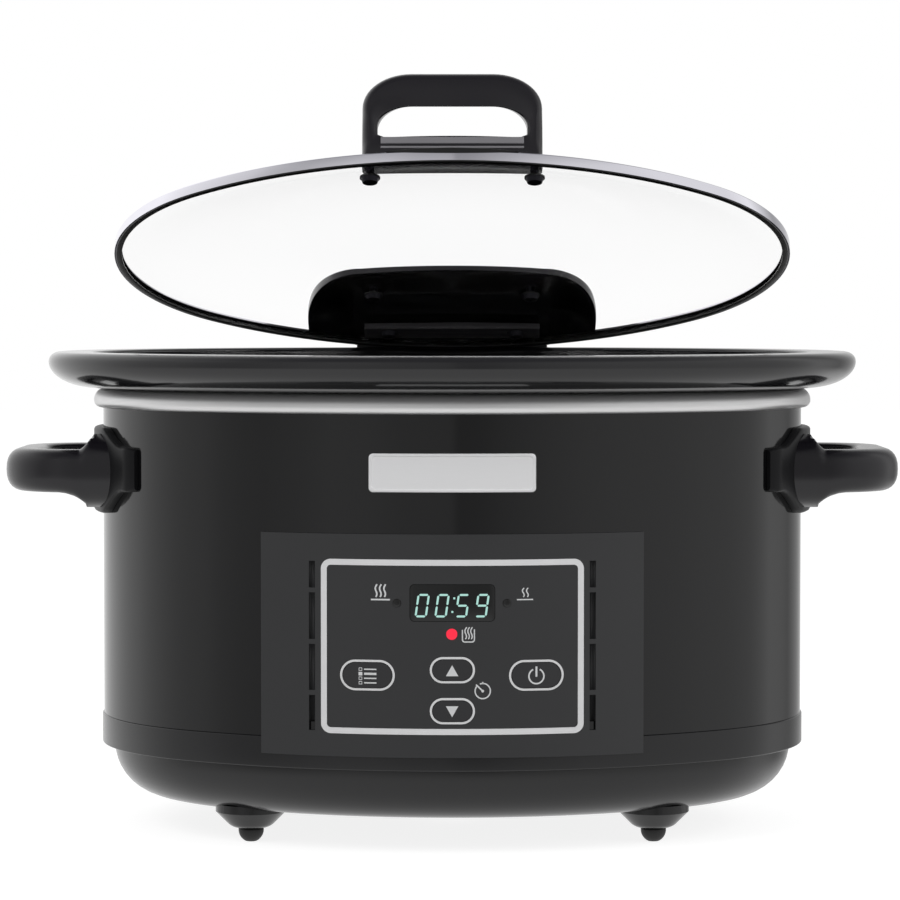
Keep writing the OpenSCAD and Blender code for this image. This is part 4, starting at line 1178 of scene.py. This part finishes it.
    def build(self) -> None:
        """Builds the panel."""
        softened("control_panel", Body.BASE, PANEL, on_wall=(self.face, self.face / 2))
        softened("panel_frame", Body.BASE, SILVER_LINE, on_wall=(self.ring_face,))
        softened("button_rings", Body.BASE, SILVER_LINE, on_wall=(self.ring_face,))
        for key in BUTTONS.values():
            softened(key, key, KEYCAP, on_wall=(self.key_face,))
        self.lamp("lamp_left", -23.2, 108.3, 1.7, DARK_LAMP)
        self.lamp("lamp_right", 22.8, 108.3, 1.7, DARK_LAMP)
        self.lamp("lamp_lit", -0.25, 95.3, 2.3, RED_LAMP)
        self.display()
        for icon in Icon:
            self.sign(icon).build(f"sign_{icon.value}", BUTTONS.get(icon, Body.BASE), PRINT, sharp=20)
        keep("key_switches", DARK_PART)
        keep("control_board", BOARD)


# ---------------------------------------------------------------- crock and lid


@dataclass
class Crock:
    """The glazed stoneware pot."""

    floor_g: float = -63.5

    def build(self) -> None:
        """Builds the pot."""
        roll, seat = Z_RIM_TOP - 4.3, Z_SEAT
        profile = [(self.floor_g, 49.0)] + arc(-57.5, 84, 35, -90, 0, 14)
        profile += [(-22.5, Z_RIM - 18.5), (-10.9, Z_RIM)]
        profile += arc(3.7, roll, 20.5, -90, 0, 16, ry=roll - Z_RIM) + arc(19.2, roll, 5, 18, 90, 8, ry=4.3)
        profile += arc(6, Z_RIM_TOP - 2, 2, 90, 180, 6)
        profile += [(1, seat + 1), (0, seat), (-13, seat), (-14.5, seat - 1)]
        profile += [(-17.9, Z_RIM - 3.5), (-29.5, Z_RIM - 21)]
        profile += arc(-57.5, 85, 28, 0, -90, 14) + [(self.floor_g, 57.0)]
        swept(profile, capped=True).build("glazed_pot", Body.CROCK, GLAZE, ["crock"], sharp=50)


# The dome of the lid's glass: its height, and the parallels from which it rises and at which it is level
DOME_H = 6.0
DOME_EDGE = -14
DOME_TOP = -86


def dome(g: float) -> float:
    """Rise of the lid's glass over its edge at the parallel g."""
    out = max(0.0, min(1.0, (g - DOME_TOP) / (DOME_EDGE - DOME_TOP)))
    return DOME_H * (1 - out ** 2)


def glass_top(x: float, y: float) -> float:
    """Height of the shut lid's glass at a place near its front or its rear."""
    return GLASS_TOP + dome(OVAL.g_at(x, y))


@dataclass
class Lid:
    """The glass lid with its metal band and gasket, drawn shut and opened at the end.

    The band and the gasket each reach from one parallel in to another, and the glass to `glass_g`.
    """

    band_g: Point2 = (-4.1, -7.2)
    gasket_g: Point2 = (-4.8, -7.5)
    glass_g: float = -6.0
    band_t: float = 0.6

    def glass(self) -> None:
        """The domed glass."""
        upper = [(g, GLASS_TOP + dome(g)) for g in range(DOME_EDGE, DOME_TOP - 1, -6)]
        lower = [(g, z - GLASS_T) for g, z in reversed(upper)]
        flat = [(DOME_EDGE, GLASS_LOW), (self.glass_g, GLASS_LOW), (self.glass_g, GLASS_TOP)]
        shape = swept(lower[:-1] + flat + upper, capped=True).moved(opened)
        shape.build("domed_glass", Body.LID, GLASS, ["lid_glass"], sharp=50)

    def band(self) -> None:
        """The polished metal band round the edge."""
        outer, inner = self.band_g
        hold = self.gasket_g[0]
        low, under = EDGE_LOW + 0.3, EDGE_TOP - self.band_t
        profile = filleted([(outer, low, 0), (outer, EDGE_TOP, 0.7), (inner, EDGE_TOP, 0), (inner, under, 0),
                            (hold, under, 0), (hold, low, 0)], steps=5)
        swept(profile).moved(opened).build("polished_band", Body.LID, CHROME, ["lid_band"])

    def gasket(self) -> None:
        """The black gasket between the glass and the band."""
        outer, inner = self.gasket_g
        slot, top = self.glass_g, EDGE_TOP - self.band_t
        profile = filleted([(outer, EDGE_LOW, 0.3), (outer, top, 0), (inner, top, 0.2), (inner, GLASS_TOP, 0),
                            (slot, GLASS_TOP, 0), (slot, GLASS_LOW, 0), (inner, GLASS_LOW, 0),
                            (inner, EDGE_LOW, 0.3)])
        swept(profile).moved(opened).build("edge_gasket", Body.LID, GASKET, ["lid_gasket"])

    def build(self) -> None:
        """Builds the lid's sheet parts."""
        self.glass()
        self.band()
        self.gasket()
        softened("lid_washers", Body.LID, RUBBER)


@dataclass
class LidHandle:
    """The loop handle on the lid's front, with a paler face on its foot that is a painted reflection, and the
    pad over the lid's edge.

    The bar's front face is crowned, and its underside rises to the rear by `slope`.
    """

    half_w: float = 38.5
    foot_z: float = 201.3
    top_z: float = 245.5
    corner: Point2 = (21.0, 16.0)
    hole_half: float = 31.9
    hole_low: float = 214.6
    hole_top: float = 228.8
    hole_corner: Point2 = (15.0, 9.0)
    front_y: float = -105.9
    back_y: float = -91.0
    crown: float = 0.9
    slope: float = 5.6
    pad_half: float = 28.0
    pad_drop: float = 1.3
    face_half: float = 30.5
    face_low: float = 210.9
    strip: Point2 = (208.7, 210.0)

    def outlines(self) -> list[tuple[Point2, Point2]]:
        """Matching points of the outer and the inner outline, all the way round."""
        out_x, out_z = self.half_w - self.corner[0], self.top_z - self.corner[1]
        in_x, in_z = self.hole_half - self.hole_corner[0], self.hole_top - self.hole_corner[1]
        foot, low = self.foot_z + 8, self.hole_low + 2
        right = [((self.half_w, foot + (out_z - foot) * i / 10),
                  (self.hole_half, low + (in_z - low) * i / 10)) for i in range(10)]
        right += zip(arc(out_x, out_z, self.corner[0], 0, 90, 14, ry=self.corner[1]),
                     arc(in_x, in_z, self.hole_corner[0], 0, 90, 14, ry=self.hole_corner[1]))
        right += [((out_x * (1 - i / 8), self.top_z), (in_x * (1 - i / 8), self.hole_top))
                  for i in range(1, 9)]
        left = [((-o[0], o[1]), (-n[0], n[1])) for o, n in reversed(right[:-1])]
        # The foot from left to right: its upper edge is bowed and rises into the legs
        base = []
        for i in range(25):
            across = i / 12 - 1
            corner = 1.4 * max(0.0, 1 - (1 - abs(across)) / 0.1)
            rise = 0.9 * (1 - across ** 2) + corner
            base.append(((self.half_w * across, self.foot_z),
                         (self.hole_half * across, self.hole_low + rise)))
        return right + left + base

    def loop(self) -> None:
        """The loop, lofted along its outlines."""
        rows = []
        for outer, inner in self.outlines():
            n = Vector(inner)
            run = Vector(outer) - n
            wide = run.length
            run.normalize()
            high = max(0.0, min(1.0, (outer[1] - 205) / 35))
            front, back = self.front_y + 1.0 * high, self.back_y - 1.5 * high
            r_out, r_in = min(4.0, wide * 0.42), min(1.6, wide * 0.3)
            # The bar's lower rear edge is rounded off, the legs' are not
            on_bar = max(0.0, min(1.0, (inner[1] - self.hole_top + 9) / 9))
            section = filleted([(front, wide, r_out), (back, wide, r_out),
                                (back, self.slope * on_bar, r_in + 1.2 * on_bar),
                                (front, 0.0, r_in - 1.1 * on_bar)], steps=5)
            low = section[-1][1]
            face = section[0][1] - low
            section += [(front, low + face * k) for k in (0.04, 0.2, 0.36, 0.52, 0.68, 0.84, 0.96)]
            middle = (front + back) / 2
            row = []
            for y, s in section:
                p = n + run * s
                y -= self.crown * max(0.0, (middle - y) / (middle - front)) * (1 - (2 * s / wide - 1) ** 2)
                row.append((p.x, y, max(p.y, glass_top(p.x, y) + 0.05)))
            rows.append(row)
        Shape().grid(rows, True, True).moved(opened).build("lid_loop", Body.LID, GRIP, ["lid_handle"])

    def pad(self) -> None:
        """The lens-shaped pad between the loop's foot and the lid's edge, which hangs over the band."""
        rows = []
        behind = self.front_y + 0.5
        for i in range(33):
            x = self.pad_half * (i / 16 - 1)
            y = OVAL.front_y(x, Lid.band_g[0]) - 0.25
            step = min(OVAL.front_y(x, -7.1), self.front_y)
            bow = 1 - (x / self.pad_half) ** 2
            on_band, on_glass = EDGE_TOP + 0.08, GLASS_TOP + 0.05
            under = on_band - self.pad_drop * bow
            over = EDGE_TOP + 0.2 + 0.8 * bow
            section = [(behind, on_glass), (step, on_glass), (step - 0.01, on_band), (y + 0.2, on_band),
                       (y + 0.2, under), (y, under - 0.01), (y, over), (y + 0.25, over + 0.2),
                       (y + 0.8, over + 0.3), (behind, over + 0.5)]
            rows.append([(x, *p) for p in section])
        shape = Shape().grid(rows, False, True, caps=True).moved(opened)
        shape.build("loop_pad", Body.LID, GASKET, ["lid_handle"])

    def foot_face(self) -> None:
        """A painted reflection on the loop's foot: a paler face and a paler lower strip, with the groove
        above the strip.
        """
        y = self.front_y - self.crown - 0.1
        bands = (("foot_face", self.face_low, self.hole_low - 0.5), ("foot_strip", *self.strip))
        for name, low, high in bands:
            section = [(y + 1.5, low), (y + 0.3, low), (y, low + 0.3),
                       (y, high - 0.3), (y + 0.3, high), (y + 1.5, high)]
            rows = [[(self.face_half * (i / 12 - 1), *p) for p in section] for i in range(25)]
            shape = Shape().grid(rows, False, True, caps=True).moved(opened)
            shape.build(name, Body.LID, FOOT, ["lid_handle"])

    def build(self) -> None:
        """Builds the handle."""
        self.loop()
        self.pad()
        self.foot_face()


@dataclass
class HingeCover:
    """The domed cover over the hinge arm, with the rings and ribs round its screw bosses."""

    half_w: float = 68.3
    front_y: float = 34.0
    rear_g: float = -1.0
    corner: Point2 = (26.0, 50.0)
    bow_r: float = 200.0
    spine_y: float = 84.0
    top_z: float = 221.0
    thick: float = 1.8
    screw_at: Point2 = (36.6, 55.8)
    ring_r: float = 9.6
    steps: int = 22

    def rear(self, x: float) -> float:
        """y of the cover's rear edge at the given x."""
        return -OVAL.side_y + math.sqrt((OVAL.side_r + self.rear_g) ** 2 - x * x)

    def plan(self, inset: float) -> list[Point2]:
        """Half of the plan's outline, from the middle of the front edge to the rear."""
        half, front = self.half_w - inset, self.front_y + inset
        wide, deep = self.corner
        straight = half - wide
        line = [(x, front + self.bow(x)) for x in [straight * i / 14 for i in range(14)]]
        line += arc(straight, front + self.bow(straight) + deep, wide, -90, 0, 18, ry=deep)
        end, rear = line[-1][1], self.rear(half) - inset
        return line + [(half, end + (rear - end) * i / 10) for i in range(1, 11)]

    def bow(self, x: float) -> float:
        """How far the front edge lies behind its middle at the given x."""
        return self.bow_r - math.sqrt(self.bow_r ** 2 - x * x)

    def height(self, x: float, y: float, reach: float) -> float:
        """Height of the outer face at a place, in a row that reaches so far from the middle."""
        half, wide = self.half_w, self.corner[0]
        beside = max(0.0, reach - abs(x))
        before = max(0.0, y - self.front_y - self.bow(min(abs(x), half - wide)))
        base = glass_top(x, y) + 2.2 + 1.2 * (x / half) ** 2
        side = math.sqrt(1 - (1 - min(1.0, beside / 22)) ** 2)
        front = math.sin(math.pi / 2 * min(1.0, before / 50))
        behind = max(0.0, min(1.0, (self.rear(x) - y) / 8))
        top = self.top_z - 2.0 * (1 - math.sqrt(1 - (1 - behind) ** 2))
        return base + (top - base) * side * front

    def across(self, edge: Point2, reach: float, drop: float) -> list[Point3]:
        """Points of one face from the left outline to the right one.

        Args:
            edge: the face's place on its outline at the right.
            reach: how far the outer face's row reaches from the middle.
            drop: how far the face lies under the outer one.

        Returns:
            The points.
        """
        row = []
        end_x, end_y = edge
        for j in range(2 * self.steps + 1):
            t = j / self.steps - 1
            share = math.copysign(1 - (1 - abs(t)) ** 1.6, t)
            x = end_x * share
            if end_y > self.spine_y:
                end = self.rear(end_x)
                y = end_y + (self.rear(x) - end) * (end_y - self.spine_y) / (end - self.spine_y)
            else:
                y = self.spine_y + (end_y - self.spine_y) * abs(share)
            row.append((x, y, self.height(x, y, reach) - drop))
        return row

    def build(self) -> None:
        """Builds the cover."""
        rows = []
        for near, far in zip(self.plan(0.0), self.plan(self.thick)):
            up = self.across(near, near[0], 0.0)
            down = self.across(far, near[0], self.thick)
            down = [(x, y, max(z, glass_top(x, y) + 0.3)) for x, y, z in down]
            ends = [(p[0], p[1], glass_top(p[0], p[1]) + 0.05) for p in (up[-1], down[-1], down[0], up[0])]
            rows.append(up + ends[:2] + down[::-1] + ends[2:])
        # The rear wall goes down to the lid's edge
        rows.append([(p[0], p[1], EDGE_TOP + 0.1) for p in rows[-1]])
        shape = Shape().grid(rows, False, True)
        wide, last = len(rows[0]), (len(rows) - 1) * len(rows[0])
        span = 2 * self.steps + 1
        ends = [(j, j + 1, 2 * span - j, 2 * span + 1 - j) for j in range(span - 1)]
        ends += [(span - 1, span, span + 1, span + 2), (0, wide - 1, wide - 2, wide - 3)]
        shape.faces += [tuple(last + i for i in face) for face in ends]
        shape.moved(opened).build("domed_cover", Body.LID, GRIP, ["hinge_cover"], sharp=40)
        self.bosses()

    def bosses(self) -> None:
        """The screw bosses under the cover with their rings and cross ribs."""
        parts = []
        for side in (-1, 1):
            cx, cy = side * self.screw_at[0], self.screw_at[1]
            low, high = glass_top(cx, cy) + 0.4, self.height(cx, cy - self.ring_r, self.half_w) - 1.2
            turns = [2 * math.pi * i / 48 for i in range(48)]
            section = ((0.0, low + 2), (0.0, high), (1.2, high), (1.2, low + 2))
            ring = [[((self.ring_r - t) * math.cos(turn), (self.ring_r - t) * math.sin(turn), z)
                     for t, z in section] for turn in turns]
            boss = turned([(0.0, low), (4.0, low), (4.0, high), (0.0, high)], 32)
            around = [boss, Shape().grid(ring, True, True)]
            for wide, deep in ((9.0, 0.5), (0.5, 9.0)):
                rib = [[(x, y, z) for x, y in box_outline(0.0, 0.0, wide, deep)] for z in (low + 3, high)]
                around.append(Shape().grid(rib, False, True, caps=True))
            parts.append(together(around).moved(lambda p: (cx + p[0], cy + p[1], p[2])))
        together(parts).moved(opened).build("cover_bosses", Body.LID, GRIP, ["hinge_cover"])


@dataclass
class Hinge:
    """The hinge at the rear: bracket, plug-in foot, pin, arm, cover and clamp."""

    def build(self) -> None:
        """Builds the hinge."""
        softened("hinge_bracket", Body.BASE, BLACK, edge=1.2)
        softened("hinge_foot", Body.FOOT, BLACK, edge=0.4)
        softened("hinge_pin", Body.FOOT, SCREW_STEEL, edge=0.2)
        softened("hinge_arm", Body.LID, BLACK, edge=0.8)
        HingeCover().build()
        softened("clamp_plate", Body.LID, CLAMP, edge=0.3)


# ---------------------------------------------------------------- fasteners


@dataclass
class Fasteners:
    """Cross-head screws, set out at their places by geometry nodes."""

    small_head: Point2 = (3.0, 1.6)
    large_head: Point2 = (4.0, 2.0)
    small_r: float = 1.45
    large_r: float = 1.9
    bracket_x: float = 40.0
    bracket_z: float = 160.2
    board_x: float = 49.0
    board_y: float = -106.4
    board_z: Point2 = (64.6, 124.3)
    grip_at: Point2 = (35.2, -95.4)
    arm_at: Point2 = (30.0, 94.5)

    def group(self) -> bpy.types.GeometryNodeTree:
        """The node group that puts a screw on each point, along the point's axis."""
        tree = bpy.data.node_groups.new("cross-head screws", "GeometryNodeTree")
        for label, kind, default in (("Geometry", "NodeSocketGeometry", None), ("Head Radius", NUMBER, 0.003),
                                     ("Head Height", NUMBER, 0.0016), ("Shank Radius", NUMBER, 0.0015),
                                     ("Shank Length", NUMBER, 0.01), ("Finish", "NodeSocketMaterial", None)):
            made = tree.interface.new_socket(name=label, in_out="INPUT", socket_type=kind)
            if default is not None:
                made.default_value = default
        tree.interface.new_socket(name="Geometry", in_out="OUTPUT", socket_type="NodeSocketGeometry")
        given = tree.nodes.new("NodeGroupInput").outputs
        radius, height, length = given["Head Radius"], given["Head Height"], given["Shank Length"]

        def times(value: Socket, factor: float) -> Socket:
            """A socket's value times a factor."""
            node = add_node(tree, "ShaderNodeMath", {0: value, 1: factor}, operation="MULTIPLY")
            return node.outputs["Value"]

        def lifted(mesh: Node, rise: Socket) -> Socket:
            """A node's mesh moved up."""
            way = add_node(tree, "ShaderNodeCombineXYZ", {"Z": rise}).outputs["Vector"]
            moved = add_node(tree, "GeometryNodeTransform",
                             {"Geometry": mesh.outputs["Mesh"], "Translation": way})
            return moved.outputs["Geometry"]

        # The head's underside lies at height 0 and the head below it, so that the shank points up
        sunk = times(height, -1.0)
        cone = add_node(tree, "GeometryNodeMeshCone", {"Vertices": 32, "Radius Bottom": times(radius, 0.8),
                                                       "Radius Top": radius, "Depth": height})
        carve = add_node(tree, "GeometryNodeMeshBoolean", {"Mesh 1": lifted(cone, sunk)},
                         operation="DIFFERENCE")
        for wide, deep in ((1.1, 0.28), (0.28, 1.1)):
            size = add_node(tree, "ShaderNodeCombineXYZ", {"X": times(radius, wide), "Y": times(radius, deep),
                                                           "Z": height})
            cube = add_node(tree, "GeometryNodeMeshCube", {"Size": size.outputs["Vector"]})
            tree.links.new(lifted(cube, sunk), carve.inputs["Mesh 2"])
        shank = add_node(tree, "GeometryNodeMeshCylinder", {"Vertices": 20, "Radius": given["Shank Radius"],
                                                            "Depth": length})
        joined = add_node(tree, "GeometryNodeJoinGeometry", {"Geometry": carve.outputs["Mesh"]})
        tree.links.new(lifted(shank, times(length, 0.5)), joined.inputs["Geometry"])
        axis = add_node(tree, "GeometryNodeInputNamedAttribute", {"Name": "axis"}, data_type="FLOAT_VECTOR")
        turn = add_node(tree, "FunctionNodeAlignRotationToVector", {"Vector": axis.outputs["Attribute"]},
                        axis="Z")
        spread = add_node(tree, "GeometryNodeInstanceOnPoints",
                          {"Points": given["Geometry"], "Instance": joined.outputs["Geometry"],
                           "Rotation": turn.outputs["Rotation"]})
        real = add_node(tree, "GeometryNodeRealizeInstances", {"Geometry": spread.outputs["Instances"]})
        dress = add_node(tree, "GeometryNodeSetMaterial", {"Geometry": real.outputs["Geometry"],
                                                           "Material": given["Finish"]})
        add_node(tree, "NodeGroupOutput", {"Geometry": dress.outputs["Geometry"]})
        return tree

    def set_out(self, tree: bpy.types.GeometryNodeTree, node: str, body: str,
                seats: Sequence[tuple[Point3, Point3]], head: Point2, shank: Point2, finish: Finish) -> None:
        """Makes one set of screws.

        Args:
            tree: the node group.
            node: the solid that the set stands for.
            body: the body that it rides on.
            seats: where each head's underside sits and the direction of its shank.
            head: radius and height of the heads.
            shank: radius and length of the shanks.
            finish: their finish.
        """
        mesh = bpy.data.meshes.new(node + "_set")
        mesh.from_pydata([to_row(seat) for seat, _ in seats], [], [])
        axis = mesh.attributes.new("axis", "FLOAT_VECTOR", "POINT")
        axis.data.foreach_set("vector", [c for _, way in seats for c in Vector(way).normalized()])
        thing = placed(mesh.name, mesh)
        nodes = thing.modifiers.new("screws", "NODES")
        nodes.node_group = tree
        values = {"Head Radius": head[0] * MM, "Head Height": head[1] * MM, "Shank Radius": shank[0] * MM,
                  "Shank Length": shank[1] * MM, "Finish": finish.material()}
        for item in tree.interface.items_tree:
            if item.in_out == "INPUT" and item.name in values:
                nodes[item.identifier] = values[item.name]
        settled(thing)
        shaded(thing.data, 30)
        hand_over(thing, body, finish, (node,))

    def under_glass(self, x: float, y: float, gap: float) -> tuple[Point3, Point3]:
        """A seat under the shut lid's glass, carried to where the lid stands open."""
        z = glass_top(x, y) - GLASS_T - gap
        here, above = opened((x, y, z)), opened((x, y, z + 1))
        return here, (0.0, above[1] - here[1], above[2] - here[2])

    def build(self) -> None:
        """Sets out all the screws."""
        tree = self.group()
        turn = math.asin(SideHandle.leg_y / (OVAL.end_r + 3))
        reach = OVAL.end_r - 1.3
        sides = []
        for side in (1, -1):
            for way in (turn, -turn):
                c, s = side * math.cos(way), side * math.sin(way)
                sides.append(((side * OVAL.end_x + c * reach, s * reach, SideHandle.mid_z), (c, s, 0.0)))
        both = (-1, 1)
        back = [((side * self.bracket_x, OVAL.half_d - 9.0, self.bracket_z), (0.0, 1.0, 0.0))
                for side in both]
        board = [((side * self.board_x, self.board_y, z), (0.0, -1.0, 0.0))
                 for side in both for z in self.board_z]
        for node, seats, length in (("handle_screws", sides, 11.0), ("bracket_screws", back, 12.0),
                                    ("board_screws", board, 1.7)):
            self.set_out(tree, node, Body.BASE, seats, self.small_head, (self.small_r, length), SCREW_STEEL)
        lid = [self.under_glass(side * self.grip_at[0], self.grip_at[1], 1.5) for side in both]
        lid += [self.under_glass(side * self.arm_at[0], self.arm_at[1], 2.0) for side in both]
        cover_x, cover_y = HingeCover.screw_at
        cover = [self.under_glass(side * cover_x, cover_y, 1.5) for side in both]
        for node, seats, length in (("lid_screws", lid, 15.0), ("cover_screws", cover, 6.4)):
            self.set_out(tree, node, Body.LID, seats, self.large_head, (self.large_r, length), DARK_SCREW)


# ---------------------------------------------------------------- studio


def add_seen(tree: Tree) -> tuple[Socket, Socket]:
    """Adds the tests on a ray: whether it is glossy, and whether the camera sees by it.

    Args:
        tree: the tree.

    Returns:
        The two tests' sockets.
    """
    rays = add_node(tree, "ShaderNodeLightPath").outputs
    seen = add_node(tree, "ShaderNodeMath", {0: rays["Is Camera Ray"], 1: rays["Is Transmission Ray"]},
                    operation="MAXIMUM")
    return rays["Is Glossy Ray"], seen.outputs["Value"]


@dataclass
class Studio:
    """The pale floor, the light and the camera.

    Gloss sees soft tones. `left` and `right` hold their brightness by direction, in degrees from straight
    behind the object round to the front.
    """

    eye: Point3 = (-0.00099, -1.6866, 0.2369)
    down: float = 2.37
    focal: float = 149.64
    left: tuple[Point2, ...] = (
        (0.0, 0.46), (14.0, 0.48), (22.0, 0.55), (33.0, 0.57), (41.0, 0.50), (52.0, 0.44), (58.0, 0.46),
        (65.0, 0.53), (70.0, 0.63), (81.0, 0.72), (95.0, 0.85), (111.0, 1.0), (180.0, 1.0))
    right: tuple[Point2, ...] = (
        (0.0, 0.30), (8.0, 0.34), (14.0, 0.42), (25.0, 0.53), (36.0, 0.63), (47.0, 0.68), (59.0, 0.70),
        (72.0, 0.76), (98.0, 0.75), (114.0, 0.87), (136.0, 0.35), (155.0, 0.5), (180.0, 0.9))

    def camera(self) -> None:
        """Sets up the camera."""
        data = bpy.data.cameras.new("camera")
        data.lens = self.focal
        data.sensor_width = 36.0
        data.clip_start = 0.05
        thing = placed("camera", data)
        thing.location = self.eye
        thing.rotation_euler = (math.radians(90 - self.down), 0.0, 0.0)
        bpy.context.scene.camera = thing

    def surroundings(self) -> None:
        """The world: white where it is seen, soft tones where gloss reflects it, plain light on the rest."""
        world = bpy.data.worlds.new("studio")
        world.use_nodes = True
        bpy.context.scene.world = world
        tree = world.node_tree
        tree.nodes.clear()
        place = add_node(tree, "ShaderNodeTexCoord").outputs["Generated"]
        split = add_node(tree, "ShaderNodeSeparateXYZ", {"Vector": place}).outputs
        back = add_node(tree, "ShaderNodeMath", {0: split["Y"], 1: -1.0}, operation="MULTIPLY")
        turn = add_node(tree, "ShaderNodeMath", {0: split["X"], 1: back.outputs["Value"]},
                        operation="ARCTAN2")
        share = add_node(tree, "ShaderNodeMapRange", {"Value": turn.outputs["Value"], "From Min": -math.pi,
                                                      "From Max": math.pi})
        ramp = add_node(tree, "ShaderNodeValToRGB", {"Fac": share.outputs["Result"]})
        stops = [((180 - a) / 360, v) for a, v in reversed(self.left)]
        stops += [(0.5005, self.right[0][1])] + [((180 + a) / 360, v) for a, v in self.right[1:]]
        tones = ramp.color_ramp.elements
        tones.remove(tones[1])
        tones[0].position, tones[0].color = stops[0][0], (stops[0][1], stops[0][1], stops[0][1], 1.0)
        for spot, value in stops[1:]:
            tones.new(spot).color = (value, value, value, 1.0)

        def faded(tone: Socket, other: Colour, start: float, end: float) -> Socket:
            """Fades a tone into another one between two heights of the direction."""
            part = add_node(tree, "ShaderNodeMapRange",
                            {"Value": split["Z"], "From Min": start, "From Max": end})
            mix = add_node(tree, "ShaderNodeMix", {"Factor": part.outputs["Result"], "A": tone,
                                                 "B": (*other, 1.0)}, data_type="RGBA")
            return mix.outputs["Result"]

        tone = faded(ramp.outputs["Color"], (0.2, 0.2, 0.21), 0.66, 0.95)
        tone = faded(tone, (0.9, 0.9, 0.9), -0.2, -0.4)
        glossy, seen = add_seen(tree)
        white = (1.0, 1.0, 1.0, 1.0)
        plain, gloss, clear = (add_node(tree, "ShaderNodeBackground", {"Color": colour, "Strength": strength})
                               for colour, strength in ((white, 0.55), (tone, 1.0), (white, 1.0)))
        first = add_node(tree, "ShaderNodeMixShader", {"Fac": glossy, 1: plain.outputs["Background"],
                                                       2: gloss.outputs["Background"]})
        second = add_node(tree, "ShaderNodeMixShader", {"Fac": seen, 1: first.outputs["Shader"],
                                                        2: clear.outputs["Background"]})
        add_node(tree, "ShaderNodeOutputWorld", {"Surface": second.outputs["Shader"]})

    def floor(self) -> None:
        """The pale floor; it shows white and keeps a soft shadow."""
        mesh = bpy.data.meshes.new("floor")
        mesh.from_pydata([(x, y, 0) for x, y in box_outline(0, 0, 6, 6)], [], [(0, 1, 2, 3)])
        thing = placed("floor", mesh)
        made = bpy.data.materials.new("pale floor")
        made.use_nodes = True
        tree = made.node_tree
        shader = tree.nodes["Principled BSDF"]
        shader.inputs["Base Color"].default_value = (0.35, 0.35, 0.35, 1.0)
        shader.inputs["Roughness"].default_value = 1.0
        shader.inputs["Specular IOR Level"].default_value = 0.0
        _, seen = add_seen(tree)
        strength = add_node(tree, "ShaderNodeMath", {0: seen, 1: 0.85}, operation="MULTIPLY")
        glow = add_node(tree, "ShaderNodeEmission", {"Strength": strength.outputs["Value"]})
        total = add_node(tree, "ShaderNodeAddShader",
                         {0: shader.outputs["BSDF"], 1: glow.outputs["Emission"]})
        tree.links.new(total.outputs["Shader"], tree.nodes["Material Output"].inputs["Surface"])
        mesh.materials.append(made)
        thing.visible_glossy = False

    def lamp(self, name: str, place: Point3, size: float, power: float) -> None:
        """An area lamp that looks at the object and isn't itself reflected."""
        data = bpy.data.lights.new(name, "AREA")
        data.shape = "SQUARE"
        data.size = size
        data.energy = power
        thing = placed(name, data)
        thing.visible_glossy = False
        thing.location = place
        thing.rotation_euler = (Vector((0, 0, 0.15)) - Vector(place)).to_track_quat("-Z", "Y").to_euler()

    def build(self) -> None:
        """Builds the studio."""
        self.camera()
        self.surroundings()
        self.floor()
        self.lamp("key_lamp", (-1.2, -1.6, 1.8), 1.2, 18.0)
        self.lamp("fill_lamp", (1.6, -1.0, 1.3), 1.2, 10.0)
        bpy.context.scene.view_settings.view_transform = "Standard"


def main() -> None:
    """Builds the whole scene in order."""
    logging.basicConfig(level=logging.INFO, format="%(name)s: %(message)s")
    Studio().build()
    for part in (Housing(), SideHandle(1), SideHandle(-1), ControlPanel(), Crock(), Lid(), LidHandle(),
                 Hinge(), Fasteners()):
        part.build()


if __name__ == "__main__":
    main()
